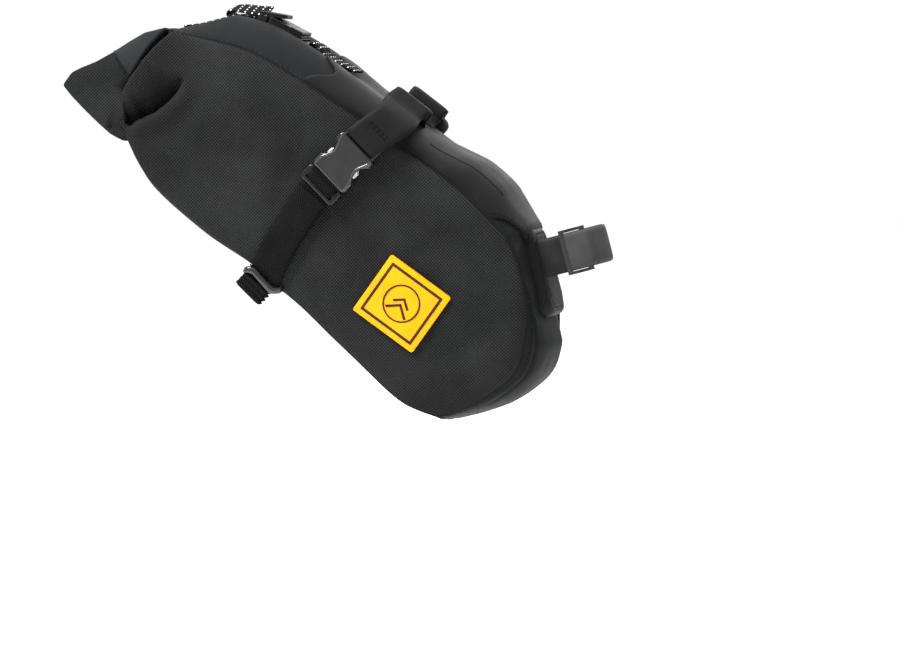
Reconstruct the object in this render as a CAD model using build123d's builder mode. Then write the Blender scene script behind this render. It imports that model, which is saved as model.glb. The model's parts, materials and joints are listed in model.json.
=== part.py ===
"""A roll-top saddle bag that hangs from a bicycle's saddle rails and straps to its seat post.

+X points forward along the bicycle, +Y to its left and +Z up. The origin is on the seat post's axis, at the
middle of the post strap. Everything is in millimetres and degrees.
"""

import os
from math import cos, radians, sin

from build123d import *

lift = 0.3  # clearance between layers that only lie on each other
far = 700.0  # longer than anything here, for cutting

# Bag
half_width = 53.0  # from the middle plane to the side panels' outer faces
shoulder = 20.0  # rounding between the side panels and the gussets
skin = 1.6  # outer fabric with its foam
liner_thick = 0.6
board_thick = 1.5
board_half_width = 28.0
mouth_top = (-226.0, 129.0)
mouth_bottom = (-252.0, 65.0)
outline = [
    (-233.0, 127.5),
    (-190.0, 132.0),
    (-120.0, 95.5),
    (-30.0, 28.0),
    (-8.0, -46.0),
    (-22.0, -90.0),
    (-84.0, -101.0),
    (-235.0, 32.0),
    (-254.6, 70.0),
]
outline_radii = [30.0, 120.0, 60.0, 60.0, 34.0, 26.0, 60.0]
hub = (-90.0, -30.0)  # the three gusset panels meet on lines that run out from here
nose_seam = 28.5
base_seam = -83.5
mouth_seam = 139.6
seam_at = 51.3  # from the middle plane to the side seams
binding_thick = 1.0
binding_width = 1.0
mouth_binding_width = 4.0

# Front wrap and patch
wrap_thick = 1.2
wrap_rear = -148.0
wrap_front = 19.0  # height of its lower edge
patch_centre = (-90.0, -28.5)
patch_turn = -35.6
patch_size = (42.0, 39.0)
patch_thick = 1.8
print_inset = 3.2
print_line = 1.1
print_thick = 0.25

# Roll closure
roll_half_width = 57.0
roll_gap = 0.6
roll_points = [
    (-209.0, 134.8),
    (-246.0, 122.5),
    (-262.0, 113.5),
    (-279.5, 105.5),
    (-287.0, 92.5),
    (-272.0, 79.5),
    (-237.2, 49.5),
]
roll_bends = [40.0, 40.0, 12.0, 9.0, 60.0]
roll_edge = 6.0
roll_wall = 3.0
roll_board_origin = (-262.0, 93.0)
roll_board_slope = 28.0
roll_board_size = (28.0, 100.0, 2.0)

# Webbing on top
strap_half_width = 10.0
webbing_thick = 1.4
strap_under = binding_thick + lift
latch_origin = (-182.0, 127.8)
latch_slope = -27.5
latch_half_width = 12.0
latch_length = 34.0
latch_floor = 0.3
latch_base_top = 3.5
latch_upper_top = 8.2
latch_upper_length = 22.0
latch_corner = 2.0
latch_edge = 0.6
latch_slot = (26.0, 31.0)
latch_slot_half = 10.5
lug_ends = (-6.0, -0.3)
magnet_x = (8.0, 16.0)
magnet_y = (-4.0, 4.0)
tab_origin = (-178.0, 134.8)
tab_slope = -10.0
tab_thick = 2.2
tab_x = (-8.0, 9.0)
tab_half_width = 9.0
tab_corner = 3.5
magnet_thick = 1.6
fold_bend = 1.3

# Side release buckles
buckle_centre = (-125.6, 49.0)
buckle_angle = 44.5
buckle_stand_off = 1.6
buckle_half_width = 12.8
buckle_thick = 7.0
buckle_corner = 2.5
buckle_edge = 1.0
socket_x = (-9.0, 24.5)
bar_from = 13.0  # from here on the socket is as thin as its bar
bar_half_width = 11.4
slot_x = (16.5, 21.0)
waist_x = 5.0
waist_radius = 8.0
waist_depth = 3.4
window_x = (-3.0, 12.0)
cavity_end = 13.0
cavity_half_width = 10.0
cavity_low = 1.5
cavity_high = 5.5
plug_clear = 0.3
plug_x = (-19.5, -9.4)
plug_slots = ((-17.2, -15.0), (-11.9, -10.0))
plug_thick = (0.8, 6.2)
rib_xs = (-14.4, -13.45, -12.5)
rib_size = (0.45, 0.4)
tongue_end = 11.0
tongue_half_width = 3.0
root_half_width = 9.4
prong_root = -6.5
prong_length = 14.0
prong_inner = 5.8
prong_outer = 8.6
prong_out = 0.8  # how far the prong's head stands out past the cavity's wall
prong_clear = 0.1
fold_thick = 1.2
side_strap_top = (-146.0, 32.0)
side_strap_angle = 58.7
side_strap_start = -4.5
tail_start = -7.0
side_under = 2.2  # room for the keeper below the side webbing
keeper_thick = 1.6
keeper_floor = 1.1
keeper_ends = (-52.0, -44.0)
base_half_width = 33.0
tail_half_width = 38.0

# Rails
rail_bore = 3.55
rail_spread = 22.0
rail_point = (-92.0, 83.4)
rail_slope = -36.87
rail_above = 7.1  # rail axis above the bag's top
rail_wrap = (-32.0, 118.0)
rail_leg_meets = -25.0
rail_strap_width = 25.0
rail_strap_thick = 1.6

# Seat post
post_tilt = 15.0
post_bore = 15.85
post_strap_width = 22.0
post_strap_thick = 1.8
ring_thick = 2.4
ring_from = -100.0
ring_to = -55.0
ring_rim = 2.0
ring_bar = 8.0
tail_from = -52.0
tail_to = 10.0
pad_face = -16.9
pad_layers = (1.0, 1.5)
pad_half_width = 22.0
pad_top = 18.5
pad_bottom = -33.0
pad_corner = 8.0
pad_rim = 3.0


def sloped(origin, slope, y=0.0):
    """A plane whose X runs along a slope in the side view, Y to the left and Z out of the slope."""
    c, s = cos(radians(slope)), sin(radians(slope))
    return Plane(origin=(origin[0], y, origin[1]), x_dir=(c, 0, s), z_dir=(-s, 0, c))


def section(plane):
    """The lengthwise section of a plane: the same X, with its Y out of the plane."""
    return Plane(origin=plane.origin, x_dir=plane.x_dir, z_dir=-plane.y_dir)


MOUTH = Plane(
    origin=(mouth_top[0], 0, mouth_top[1]),
    x_dir=(0, 1, 0),
    z_dir=(mouth_bottom[1] - mouth_top[1], 0, mouth_top[0] - mouth_bottom[0]),
)
LATCH = sloped(latch_origin, latch_slope)
RAIL = sloped(rail_point, rail_slope)
POST = sloped((0, 0), post_tilt)
BUCKLE = Plane(
    origin=(buckle_centre[0], -half_width - buckle_stand_off, buckle_centre[1]),
    x_dir=(cos(radians(buckle_angle)), 0, sin(radians(buckle_angle))),
    z_dir=(0, -1, 0),
)


def save(part, name):
    part.label = name
    export_step(part, f"parts/{name}.step")


def save_pair(part, name):
    """Writes a right-hand piece and its mirror image on the left."""
    save(part, f"{name}_right")
    save(mirror(part, about=Plane.XZ), f"{name}_left")


def box(plane, x, y, z, radius=0.0):
    """A block between pairs of limits in a plane's own directions, its corners rounded seen from above."""
    with BuildPart() as block:
        with BuildSketch(plane.offset(z[0])):
            with Locations(((x[0] + x[1]) / 2, (y[0] + y[1]) / 2)):
                if radius:
                    RectangleRounded(x[1] - x[0], y[1] - y[0], radius)
                else:
                    Rectangle(x[1] - x[0], y[1] - y[0])
        extrude(amount=z[1] - z[0])
    return block.part


def ribbon(plane, points, bend, thick, width, shift=0.0):
    """A strap of even thickness whose middle follows bent points in a plane."""
    with BuildPart() as strap:
        with BuildSketch(plane.offset(shift)):
            with BuildLine() as path:
                FilletPolyline(*points, radius=bend)
            trace(path.edges(), line_width=thick)
        extrude(amount=width / 2, both=True)
    return strap.part


def bag_block(inset):
    """The bag's closed form, smaller by inset on every side, running on past the mouth."""
    with BuildPart() as block:
        with BuildSketch(Plane.XZ):
            with BuildLine():
                side = FilletPolyline(*outline, radius=outline_radii)
                Line(side @ 1, side @ 0)
            make_face()
            if inset:
                offset(amount=-inset, kind=Kind.INTERSECTION)
        extrude(amount=half_width - inset, both=True)
        ends = block.edges().group_by(Axis.Y)
        rims = [e for e in ends[0] + ends[-1] if MOUTH.to_local_coords(e.center()).Z < 0]
        fillet(rims, radius=shoulder - inset)
    return block.part


def layer(outer, inner):
    """The bag's skin between two insets, open at the mouth. A negative inset lies outside the bag."""
    with BuildPart() as shell:
        add(bag_block(outer))
        add(bag_block(inner), mode=Mode.SUBTRACT)
        split(bisect_by=MOUTH, keep=Keep.BOTTOM)
    return shell.part


def both(first, second):
    """What two solids share."""
    with BuildPart() as shared:
        add(first)
        add(second, mode=Mode.INTERSECT)
    return shared.part


def without(first, *others):
    with BuildPart() as rest:
        add(first)
        for other in others:
            add(other, mode=Mode.SUBTRACT)
    return rest.part


def joined(*parts):
    with BuildPart() as whole:
        for part in parts:
            add(part)
    return whole.part


def wedge(start, end):
    """Everything between two directions from the hub, seen from the side."""
    corners = [(hub[0] + far * cos(radians(a)), hub[1] + far * sin(radians(a)))
               for a in (start, (start + end) / 2, end)]
    with BuildPart() as block:
        with BuildSketch(Plane.XZ):
            Polygon(hub, *corners, align=None)
        extrude(amount=half_width + far, both=True)
    return block.part


def save_bag():
    shell = layer(0, skin)
    outer = box(Plane.XY, (-far, far), (-far, -seam_at), (-far, far))
    gusset = without(shell, outer, mirror(outer, about=Plane.XZ))
    save_pair(both(shell, outer), "side_panel")
    save(both(gusset, wedge(nose_seam, mouth_seam)), "top_panel")
    save(both(gusset, wedge(base_seam, nose_seam)), "nose_panel")
    save(both(gusset, wedge(mouth_seam, 360 + base_seam)), "bottom_panel")

    save(layer(skin, skin + liner_thick), "liner")
    inner = layer(skin + liner_thick, skin + liner_thick + board_thick)
    reach = box(Plane.XY, (-222, -98), (-board_half_width, board_half_width), (-far, far))
    save(both(both(inner, wedge(mouth_seam + 20, 340 + base_seam)), reach), "base_board")

    piping = layer(-binding_thick, 0)
    seam = (-seam_at - binding_width / 2, -seam_at + binding_width / 2)
    at_seam = box(Plane.XY, (-far, far), seam, (-far, far))
    save_pair(without(both(piping, at_seam), mouth_slab()), "seam_binding")
    save(both(piping, mouth_slab()), "mouth_binding")


def mouth_slab():
    return box(MOUTH, (-far, far), (-far, far), (-mouth_binding_width, 1.0))


def save_wrap_and_patch():
    sheet = layer(-wrap_thick, 0)
    side = seam_at - binding_width / 2 - lift
    reach = box(Plane.XY, (wrap_rear, 0), (-side, side), (wrap_front, far))
    save(both(sheet, reach), "front_wrap")

    patch_plane = Plane(
        origin=(patch_centre[0], -half_width, patch_centre[1]),
        x_dir=(cos(radians(patch_turn)), 0, sin(radians(patch_turn))),
        z_dir=(0, -1, 0),
    )
    half = (patch_size[0] / 2, patch_size[1] / 2)
    save(box(patch_plane, (-half[0], half[0]), (-half[1], half[1]), (0, patch_thick), 1.5), "patch")
    limits = [(h - print_inset, h - print_inset - print_line) for h in half]
    (x_out, x_in), (y_out, y_in) = limits
    over = (patch_thick, patch_thick + print_thick)
    frame = box(patch_plane, (-x_out, x_out), (-y_out, y_out), over, 1.0)
    save(without(frame, box(patch_plane, (-x_in, x_in), (-y_in, y_in), over)), "patch_border")


def roll_block(inset):
    front = MOUTH.offset(roll_gap + max(inset, 0))
    with BuildPart() as block:
        with BuildSketch(Plane.XZ):
            with BuildLine():
                back = FilletPolyline(*roll_points, radius=roll_bends)
                Line(back @ 1, back @ 0)
            make_face()
            if inset:
                offset(amount=-inset, kind=Kind.INTERSECTION)
        extrude(amount=roll_half_width - inset, both=True)
        ends = block.edges().group_by(Axis.Y)
        rims = [e for e in ends[0] + ends[-1] if MOUTH.to_local_coords(e.center()).Z > 0]
        fillet(rims, radius=roll_edge - inset)
        split(bisect_by=front, keep=Keep.TOP)
    return block.part


def save_roll():
    outer = roll_block(0)
    inner = roll_block(roll_wall)
    length, width, thick = roll_board_size
    board_plane = sloped(roll_board_origin, roll_board_slope)
    board = box(board_plane, (8 - length, 8), (-width / 2, width / 2), (-thick / 2, thick / 2))
    board = both(board, inner)
    save(without(outer, inner), "roll_collar")
    save(without(inner, board), "roll_core")
    save(board, "roll_board")
    band = without(roll_block(-lift - webbing_thick), roll_block(-lift))
    reach = box(Plane.XY, (-far, -228.2), (-strap_half_width, strap_half_width), (80, 131.5))
    save(both(band, reach), "roll_webbing")


def save_top_webbing():
    on_top = layer(-strap_under - webbing_thick, -strap_under)
    middle = (-strap_half_width, strap_half_width)
    y = (-latch_half_width, latch_half_width)
    lug = box(LATCH, lug_ends, y, (1.0, latch_upper_top), 1.0)
    strap = both(on_top, box(Plane.XY, (-225.8, -184.0), middle, (100, far)))
    save(without(strap, lug), "closure_strap")
    loop = [(-183.0, 134.5), (-202.0, 137.1), (-202.0, 140.2), (-180.5, 139.8)]
    loop = ribbon(Plane.XZ, loop, fold_bend, webbing_thick, 2 * strap_half_width)
    save(without(loop, lug), "closure_tail")

    base = box(LATCH, (0, latch_length), y, (latch_floor, latch_base_top), latch_corner)
    base = eased(base, LATCH, latch_edge)
    slot = box(LATCH, latch_slot, (-latch_slot_half, latch_slot_half), (-far, far), 1.0)
    pocket_low = box(LATCH, magnet_x, magnet_y, (latch_base_top - magnet_thick, latch_base_top))
    save(without(base, slot, pocket_low), "latch_base")
    save(pocket_low, "latch_magnet_base")

    floor = latch_base_top + lift
    upper = box(LATCH, (0, latch_upper_length), y, (floor, latch_upper_top), latch_corner)
    upper = eased(upper, LATCH, latch_edge)
    link = box(LATCH, (-3, 3), (-9, 9), (floor, latch_upper_top - latch_edge))
    pocket_high = box(LATCH, magnet_x, magnet_y, (floor, floor + magnet_thick))
    tab_plane = sloped(tab_origin, tab_slope)
    above_tab = box(tab_plane, (-far, far), (-far, far), (0, far))
    save(without(joined(upper, lug, link), pocket_high, above_tab), "latch_upper")
    save(pocket_high, "latch_magnet_upper")
    tab = box(tab_plane, tab_x, (-tab_half_width, tab_half_width), (0, tab_thick), tab_corner)
    save(eased(tab, tab_plane, latch_edge), "thumb_tab")

    fold = [(28.6, 1.0), (28.6, 4.6), (35.2, 4.6), (38.0, 2.2), (60.0, 2.2)]
    save(ribbon(section(LATCH), fold, 0.9, webbing_thick, 2 * strap_half_width), "front_webbing")


def save_rail_straps():
    rail = Plane(origin=RAIL.origin, x_dir=(0, 1, 0), z_dir=RAIL.x_dir)
    half = rail_strap_width / 2
    mid = rail_bore + rail_strap_thick / 2
    start, end = rail_wrap
    radii = (rail_bore, rail_bore + rail_strap_thick)
    loop = arc_band(rail, (-rail_spread, 0), radii, (start, end), (-half, half))
    edge = shoulder + wrap_thick + lift + rail_strap_thick / 2
    edge_centre = (shoulder - half_width, -rail_above - shoulder)
    foot_height = wrap_thick + rail_strap_thick / 2 - rail_above
    with BuildPart() as leg:
        with BuildSketch(rail):
            with BuildLine() as path:
                meets = (mid * cos(radians(rail_leg_meets)) - rail_spread, mid * sin(radians(rail_leg_meets)))
                FilletPolyline((-6.0, foot_height), (-15.5, foot_height), meets, radius=1.5)
            trace(path.edges(), line_width=rail_strap_thick)
        extrude(amount=half, both=True)
    with BuildPart() as side:
        with BuildSketch(rail):
            with BuildLine() as path:
                down = CenterArc(edge_centre, edge, end, 47)
                Line((mid * cos(radians(end)) - rail_spread, mid * sin(radians(end))), down @ 0)
            trace(path.edges(), line_width=rail_strap_thick)
        extrude(amount=half, both=True)
    strap = without(joined(loop, leg.part, side.part), bag_block(-wrap_thick))
    save_pair(strap, "rail_strap")
    inner, outer = slot_x[0] + 2.5, socket_x[1] + 0.5
    fold = [(outer + 0.9, 0.8), (inner, 0.8), (inner, 6.2), (outer, 6.2), (outer + 7.9, -0.9)]
    fold = ribbon(section(BUCKLE), fold, fold_bend, fold_thick, 2 * cavity_half_width - 1)
    save_pair(without(fold, strap, bag_block(-wrap_thick)), "rail_strap_fold")


def eased(part, plane, radius):
    """The same solid with the edges of its top face rounded."""
    with BuildPart() as smooth:
        add(part)
        top = smooth.faces().sort_by(lambda f: plane.to_local_coords(f.center()).Z)[-1]
        fillet(top.edges(), radius=radius)
    return smooth.part


def save_socket():
    """The half that the rail strap folds round, waisted where the prongs show."""
    low, high = cavity_low, cavity_high
    inside = (-cavity_half_width, cavity_half_width)
    with BuildPart() as body:
        with BuildSketch(BUCKLE):
            with Locations(((socket_x[0] + slot_x[0]) / 2, 0)):
                RectangleRounded(slot_x[0] - socket_x[0], 2 * buckle_half_width, buckle_corner)
            aside = buckle_half_width + waist_radius - waist_depth
            with Locations((waist_x, aside), (waist_x, -aside)):
                Circle(waist_radius, mode=Mode.SUBTRACT)
        extrude(amount=buckle_thick)
    bars = box(BUCKLE, (bar_from, socket_x[1]), (-bar_half_width, bar_half_width), (low, high), buckle_corner)
    slot = box(BUCKLE, slot_x, inside, (-far, far))
    cavity = box(BUCKLE, (socket_x[0] - 1, cavity_end), inside, (low, high))
    window = box(BUCKLE, window_x, (-15, 15), (low, high))
    whole = joined(eased(body.part, BUCKLE, buckle_edge), bars)
    save_pair(without(whole, slot, cavity, window), "buckle_socket")


def save_plug():
    low, high = cavity_low + plug_clear, cavity_high - plug_clear
    y = (-buckle_half_width, buckle_half_width)
    inside = (-cavity_half_width, cavity_half_width)
    frame = eased(box(BUCKLE, plug_x, y, plug_thick, buckle_corner), BUCKLE, buckle_edge)
    slots = [box(BUCKLE, ends, inside, (-far, far)) for ends in plug_slots]
    wide, tall = rib_size
    rib_z = (plug_thick[1] - tall, plug_thick[1] + tall)
    ribs = [box(BUCKLE, (x - wide / 2, x + wide / 2), inside, rib_z) for x in rib_xs]
    behind = plug_x[1] - 0.6
    tongue = box(BUCKLE, (behind, tongue_end), (-tongue_half_width, tongue_half_width), (low, high))
    root = box(BUCKLE, (behind, prong_root), (-root_half_width, root_half_width), (low, high))
    recess = (prong_root - 1.2, prong_root)
    seats = [box(BUCKLE, recess, s, (low, high)) for s in ((5.4, 9.0), (-9.0, -5.4))]
    save_pair(without(joined(without(frame, *slots), tongue, root, *ribs), *seats), "buckle_plug")

    head = cavity_half_width + prong_out
    tip = prong_root + prong_length
    base = prong_root + prong_clear
    outline_2d = [
        (base, prong_inner),
        (tip - 1, prong_inner + 1.6),
        (tip, prong_inner + 2.6),
        (tip - 3, head),
        (tip - 6, head),
        (tip - 6.5, prong_outer + 0.6),
        (base, prong_outer),
    ]
    with BuildPart() as prong:
        with BuildSketch(BUCKLE.offset(low + prong_clear)):
            Polygon(*outline_2d, align=None)
        extrude(amount=high - low - 2 * prong_clear)
    save_pair(prong.part, "prong_upper")
    middle = Plane(BUCKLE.origin, x_dir=BUCKLE.x_dir, z_dir=BUCKLE.y_dir)
    save_pair(mirror(prong.part, about=middle), "prong_lower")


SIDE_STRAP = Plane(
    origin=(side_strap_top[0], -half_width, side_strap_top[1]),
    x_dir=(cos(radians(side_strap_angle)), 0, sin(radians(side_strap_angle))),
    z_dir=(0, -1, 0),
)


def along_side(ends, half, inner):
    """A slab across the right side and round under the bag, as far in as a distance from the middle plane."""
    return box(SIDE_STRAP, ends, (-half, half), (inner - half_width, far))


def save_side_webbing():
    second = side_under + webbing_thick + lift
    width = strap_half_width - 0.3
    main = layer(-side_under - webbing_thick, -side_under)
    down = (-far, side_strap_start)
    base = both(main, along_side(down, width, 0.0))
    low = box(Plane.XY, (-far, far), (-base_half_width, far), (-far, far))
    save_pair(without(base, low), "side_webbing")
    base = both(base, low)
    save(joined(base, mirror(base, about=Plane.XZ)), "base_webbing")
    tail = layer(-second - webbing_thick, -second)
    save_pair(both(tail, along_side((-far, tail_start), width, tail_half_width)), "side_tail")

    top = second + webbing_thick + lift
    around = along_side(keeper_ends, width + 2.6, tail_half_width + 1)
    ring = both(layer(-top - keeper_thick, -keeper_floor), around)
    hole = both(layer(-top, -side_under + lift), along_side(keeper_ends, width + lift, 0))
    save_pair(without(ring, hole), "keeper")


def arc_band(plane, centre, radii, angles, heights):
    """A part of a tube about an axis square to a plane."""
    start, end = angles
    with BuildPart() as band:
        with BuildSketch(plane.offset(heights[0])):
            with BuildLine():
                near = CenterArc(centre, radii[0], start, end - start)
                away = CenterArc(centre, radii[1], start, end - start)
                Line(near @ 0, away @ 0)
                Line(near @ 1, away @ 1)
            make_face()
        extrude(amount=heights[1] - heights[0])
    return band.part


def save_post_strap():
    half = post_strap_width / 2
    outer = post_bore + post_strap_thick
    reach = -pad_face + 6.0
    with BuildPart() as strap:
        with BuildSketch(POST.offset(-half)):
            Circle(outer)
            with Locations((-reach / 2, 0)):
                Rectangle(reach, 2 * outer)
            Circle(post_bore, mode=Mode.SUBTRACT)
            with Locations((-reach, 0)):
                Rectangle(2 * reach, 2 * post_bore, mode=Mode.SUBTRACT)
        extrude(amount=2 * half)
    save(without(strap.part, bag_block(0)), "post_strap")

    top = outer + ring_thick
    frame = arc_band(POST, (0, 0), (outer, top), (ring_from, ring_to), (-half - ring_rim, half + ring_rim))
    gap = half + lift
    within = (ring_from + ring_bar, ring_to - ring_bar)
    hole = arc_band(POST, (0, 0), (outer - 1, top + 1), within, (-gap, gap))
    save(without(frame, hole, strap.part), "post_ring")
    start = outer + lift
    tail = arc_band(POST, (0, 0), (start, start + post_strap_thick), (tail_from, tail_to), (-half, half))
    save(tail, "post_strap_tail")


def save_pad():
    """The rest for the seat post: a shaped rim, foam in it and an open mesh over the foam."""
    mesh_thick, foam_thick = pad_layers
    middle = (pad_top + pad_bottom) / 2
    half = (pad_top - pad_bottom) / 2
    centre = POST.origin + POST.x_dir * pad_face + POST.z_dir * middle
    face = Plane(origin=centre, x_dir=POST.y_dir, z_dir=POST.x_dir)
    y = (-pad_half_width, pad_half_width)
    whole = box(face, y, (-half, half), (-30, -mesh_thick), pad_corner)
    slots = box(POST, (-40, -10), (-post_bore - post_strap_thick - lift, -post_bore + lift),
                (-post_strap_width / 2 - lift, post_strap_width / 2 + lift))
    slots = joined(slots, mirror(slots, about=Plane.XZ))
    foam_y = (y[0] + pad_rim, y[1] - pad_rim)
    foam_height = (pad_rim - half, half - pad_rim)
    corner = pad_corner - pad_rim
    foam = box(face, foam_y, foam_height, (-mesh_thick - foam_thick, -mesh_thick), corner)
    mesh = box(face, foam_y, foam_height, (-mesh_thick, 0), corner)
    save(without(whole, bag_block(0), foam, slots), "pad_shell")
    save(without(foam, slots), "pad_foam")
    save(without(mesh, slots), "pad_mesh")


os.makedirs("parts", exist_ok=True)
save_bag()
save_wrap_and_patch()
save_roll()
save_top_webbing()
save_rail_straps()
save_socket()
save_plug()
save_side_webbing()
save_post_strap()
save_pad()
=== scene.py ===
import json
import math

import bmesh
import bpy
import numpy as np
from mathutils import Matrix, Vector
from mathutils.bvhtree import BVHTree


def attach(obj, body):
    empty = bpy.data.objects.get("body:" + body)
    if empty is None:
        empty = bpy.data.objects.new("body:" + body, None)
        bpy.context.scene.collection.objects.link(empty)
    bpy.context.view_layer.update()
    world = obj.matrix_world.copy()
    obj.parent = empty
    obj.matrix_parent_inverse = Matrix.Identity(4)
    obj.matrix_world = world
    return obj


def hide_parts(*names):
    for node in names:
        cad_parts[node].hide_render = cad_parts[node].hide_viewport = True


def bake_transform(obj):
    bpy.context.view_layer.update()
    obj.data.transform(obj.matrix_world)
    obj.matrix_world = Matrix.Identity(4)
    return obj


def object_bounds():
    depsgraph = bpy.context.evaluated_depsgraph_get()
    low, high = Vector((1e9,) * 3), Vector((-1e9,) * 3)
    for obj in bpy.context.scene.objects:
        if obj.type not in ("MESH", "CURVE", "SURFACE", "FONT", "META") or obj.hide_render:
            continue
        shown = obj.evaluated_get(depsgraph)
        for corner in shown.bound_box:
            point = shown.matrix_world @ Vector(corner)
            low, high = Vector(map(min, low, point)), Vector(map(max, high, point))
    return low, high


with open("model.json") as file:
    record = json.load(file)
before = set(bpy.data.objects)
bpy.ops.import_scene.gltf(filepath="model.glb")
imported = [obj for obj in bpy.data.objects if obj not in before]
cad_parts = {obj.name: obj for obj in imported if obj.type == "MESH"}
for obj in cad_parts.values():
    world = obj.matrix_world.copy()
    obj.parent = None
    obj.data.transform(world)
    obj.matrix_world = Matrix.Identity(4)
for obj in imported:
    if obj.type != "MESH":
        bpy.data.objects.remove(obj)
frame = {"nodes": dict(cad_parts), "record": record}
nodes = frame["nodes"]
cad_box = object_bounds()
mounts = {m["name"]: m for m in frame["record"]["mounts"]}
MM = 0.001
HANDS = ((-1, "right"), (1, "left"))

# ---------------------------------------------------------------- camera, light, floor
post = Vector(mounts["seatpost"]["pos_m"])
target = post + Vector((-73.7, 0, -43.3)) * MM
azimuth = math.radians(12)
elevation = math.radians(4)
distance = 2.2
seen_width = 0.5233
sensor_width = 36
away = Vector((math.sin(azimuth) * math.cos(elevation),
               -math.cos(azimuth) * math.cos(elevation),
               math.sin(elevation)))
camera = bpy.data.objects.new("camera", bpy.data.cameras.new("camera"))
bpy.context.scene.collection.objects.link(camera)
camera.location = target + away * distance
camera.rotation_euler = away.to_track_quat("Z", "Y").to_euler()
camera.data.sensor_width = sensor_width
camera.data.lens = sensor_width * distance / seen_width
camera.data.clip_end = 50
bpy.context.scene.camera = camera


def area_light(name, place, aim, size, power):
    data = bpy.data.lights.new(name, "AREA")
    data.shape = "RECTANGLE"
    data.size, data.size_y = size
    data.energy = power
    light = bpy.data.objects.new(name, data)
    bpy.context.scene.collection.objects.link(light)
    light.location = place
    light.rotation_euler = (Vector(place) - Vector(aim)).to_track_quat("Z", "Y").to_euler()


area_light("key", (-1.1, -0.9, 1.6), (-0.13, 0, 0), (0.7, 0.5), 175)
area_light("top", (-0.2, 0.3, 1.7), (-0.13, 0, 0), (2.0, 1.2), 62)
area_light("fill", (1.5, -1.6, 0.2), (-0.1, 0, 0), (1.2, 1.6), 16)
area_light("rim", (0.4, 1.6, 0.8), (-0.1, 0, 0), (1.8, 1.2), 26)
world = bpy.data.worlds.new("studio")
world.use_nodes = True
world.node_tree.nodes["Background"].inputs[0].default_value = (1.0, 1.0, 1.0, 1)
world.node_tree.nodes["Background"].inputs[1].default_value = 1.02
bpy.context.scene.world = world
bpy.context.scene.view_settings.view_transform = "Standard"


# ---------------------------------------------------------------- materials
class Nodes:
    """A material's node tree, built from the shader backwards."""

    def __init__(self, name, **settings):
        self.material = bpy.data.materials.new(name)
        self.material.use_nodes = True
        self.tree = self.material.node_tree
        self.shader = self.tree.nodes["Principled BSDF"]
        for key, value in settings.items():
            self.shader.inputs[key.replace("_", " ")].default_value = value

    def put(self, value, socket):
        if isinstance(value, bpy.types.NodeSocket):
            self.tree.links.new(value, socket)
        elif value is not None:
            socket.default_value = value

    def node(self, kind, *values, out=0, **settings):
        n = self.tree.nodes.new(kind)
        for key, value in settings.items():
            setattr(n, key, value)
        for i, value in enumerate(values):
            self.put(value, n.inputs[i])
        return n.outputs[out]

    def math(self, operation, a, b=None):
        return self.node("ShaderNodeMath", a, b, operation=operation)

    def noise(self, vector, scale, detail=3.0):
        n = self.tree.nodes.new("ShaderNodeTexNoise")
        self.put(vector, n.inputs["Vector"])
        n.inputs["Scale"].default_value = scale
        n.inputs["Detail"].default_value = detail
        n.inputs["Roughness"].default_value = 0.55
        return n.outputs["Fac"]

    def span(self, value, low, high, to_low=0.0, to_high=1.0):
        n = self.tree.nodes.new("ShaderNodeMapRange")
        for i, x in enumerate((value, low, high, to_low, to_high)):
            self.put(x, n.inputs[i])
        return n.outputs[0]

    def mix(self, factor, a, b):
        n = self.tree.nodes.new("ShaderNodeMix")
        n.data_type = "RGBA"
        self.put(factor, n.inputs["Factor"])
        self.put(a, n.inputs[6])
        self.put(b, n.inputs[7])
        return n.outputs[2]

    def place(self):
        return self.node("ShaderNodeTexCoord", out=3)

    def flat(self):
        """The two distances over the cloth, in metres."""
        parts = self.tree.nodes.new("ShaderNodeSeparateXYZ")
        uv = self.tree.nodes.new("ShaderNodeTexCoord")
        self.tree.links.new(uv.outputs["UV"], parts.inputs[0])
        return parts.outputs[0], parts.outputs[1]

    def wave(self, along, pitch):
        return self.math("SINE", self.math("MULTIPLY", along, 2 * math.pi / pitch))

    def bump(self, height, distance, strength=1.0, under=None):
        n = self.tree.nodes.new("ShaderNodeBump")
        n.inputs["Strength"].default_value = strength
        n.inputs["Distance"].default_value = distance
        self.put(height, n.inputs["Height"])
        self.put(under, n.inputs["Normal"])
        return n.outputs[0]

    def finish(self, colour=None, rough=None, normal=None):
        self.put(colour, self.shader.inputs["Base Color"])
        self.put(rough, self.shader.inputs["Roughness"])
        self.put(normal, self.shader.inputs["Normal"])
        return self.material


def grey(value, warm=0.0):
    return (value * (1 + warm), value, value * (1 - warm), 1)


def textured_cloth():
    """Coarse plain-woven nylon: rows of raised crossings, painted a little paler on their tops as painted
    highlight.
    """
    light, pitch = 0.0078, 1.9 * MM
    m = Nodes("textured_cloth", Specular_IOR_Level=0.012)
    u, v = m.flat()
    crossings = m.math("MULTIPLY", m.wave(u, pitch), m.wave(v, pitch))
    threads = m.math("MULTIPLY", m.wave(u, pitch / 4), 0.15)
    uneven = m.noise(m.place(), 900, 2)
    height = m.math("ADD", m.math("ADD", crossings, threads), m.math("MULTIPLY", uneven, 0.25))
    worn = m.noise(m.place(), 22, 4)
    # Colour: painted highlight on the crossings' tops, and a random worn tone.
    tone = m.math("ADD", m.math("MULTIPLY", crossings, 0.55), m.span(worn, 0.3, 0.7, 0.15, 0.75))
    colour = m.mix(tone, grey(light * 0.5, -0.01), grey(light * 1.8, -0.02))
    rough = m.span(worn, 0.3, 0.7, 0.62, 0.8)
    soft = m.bump(m.noise(m.place(), 60, 3), 0.6 * MM, 0.35)
    return m.finish(colour, rough, m.bump(height, 0.22 * MM, 0.9, soft))


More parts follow.
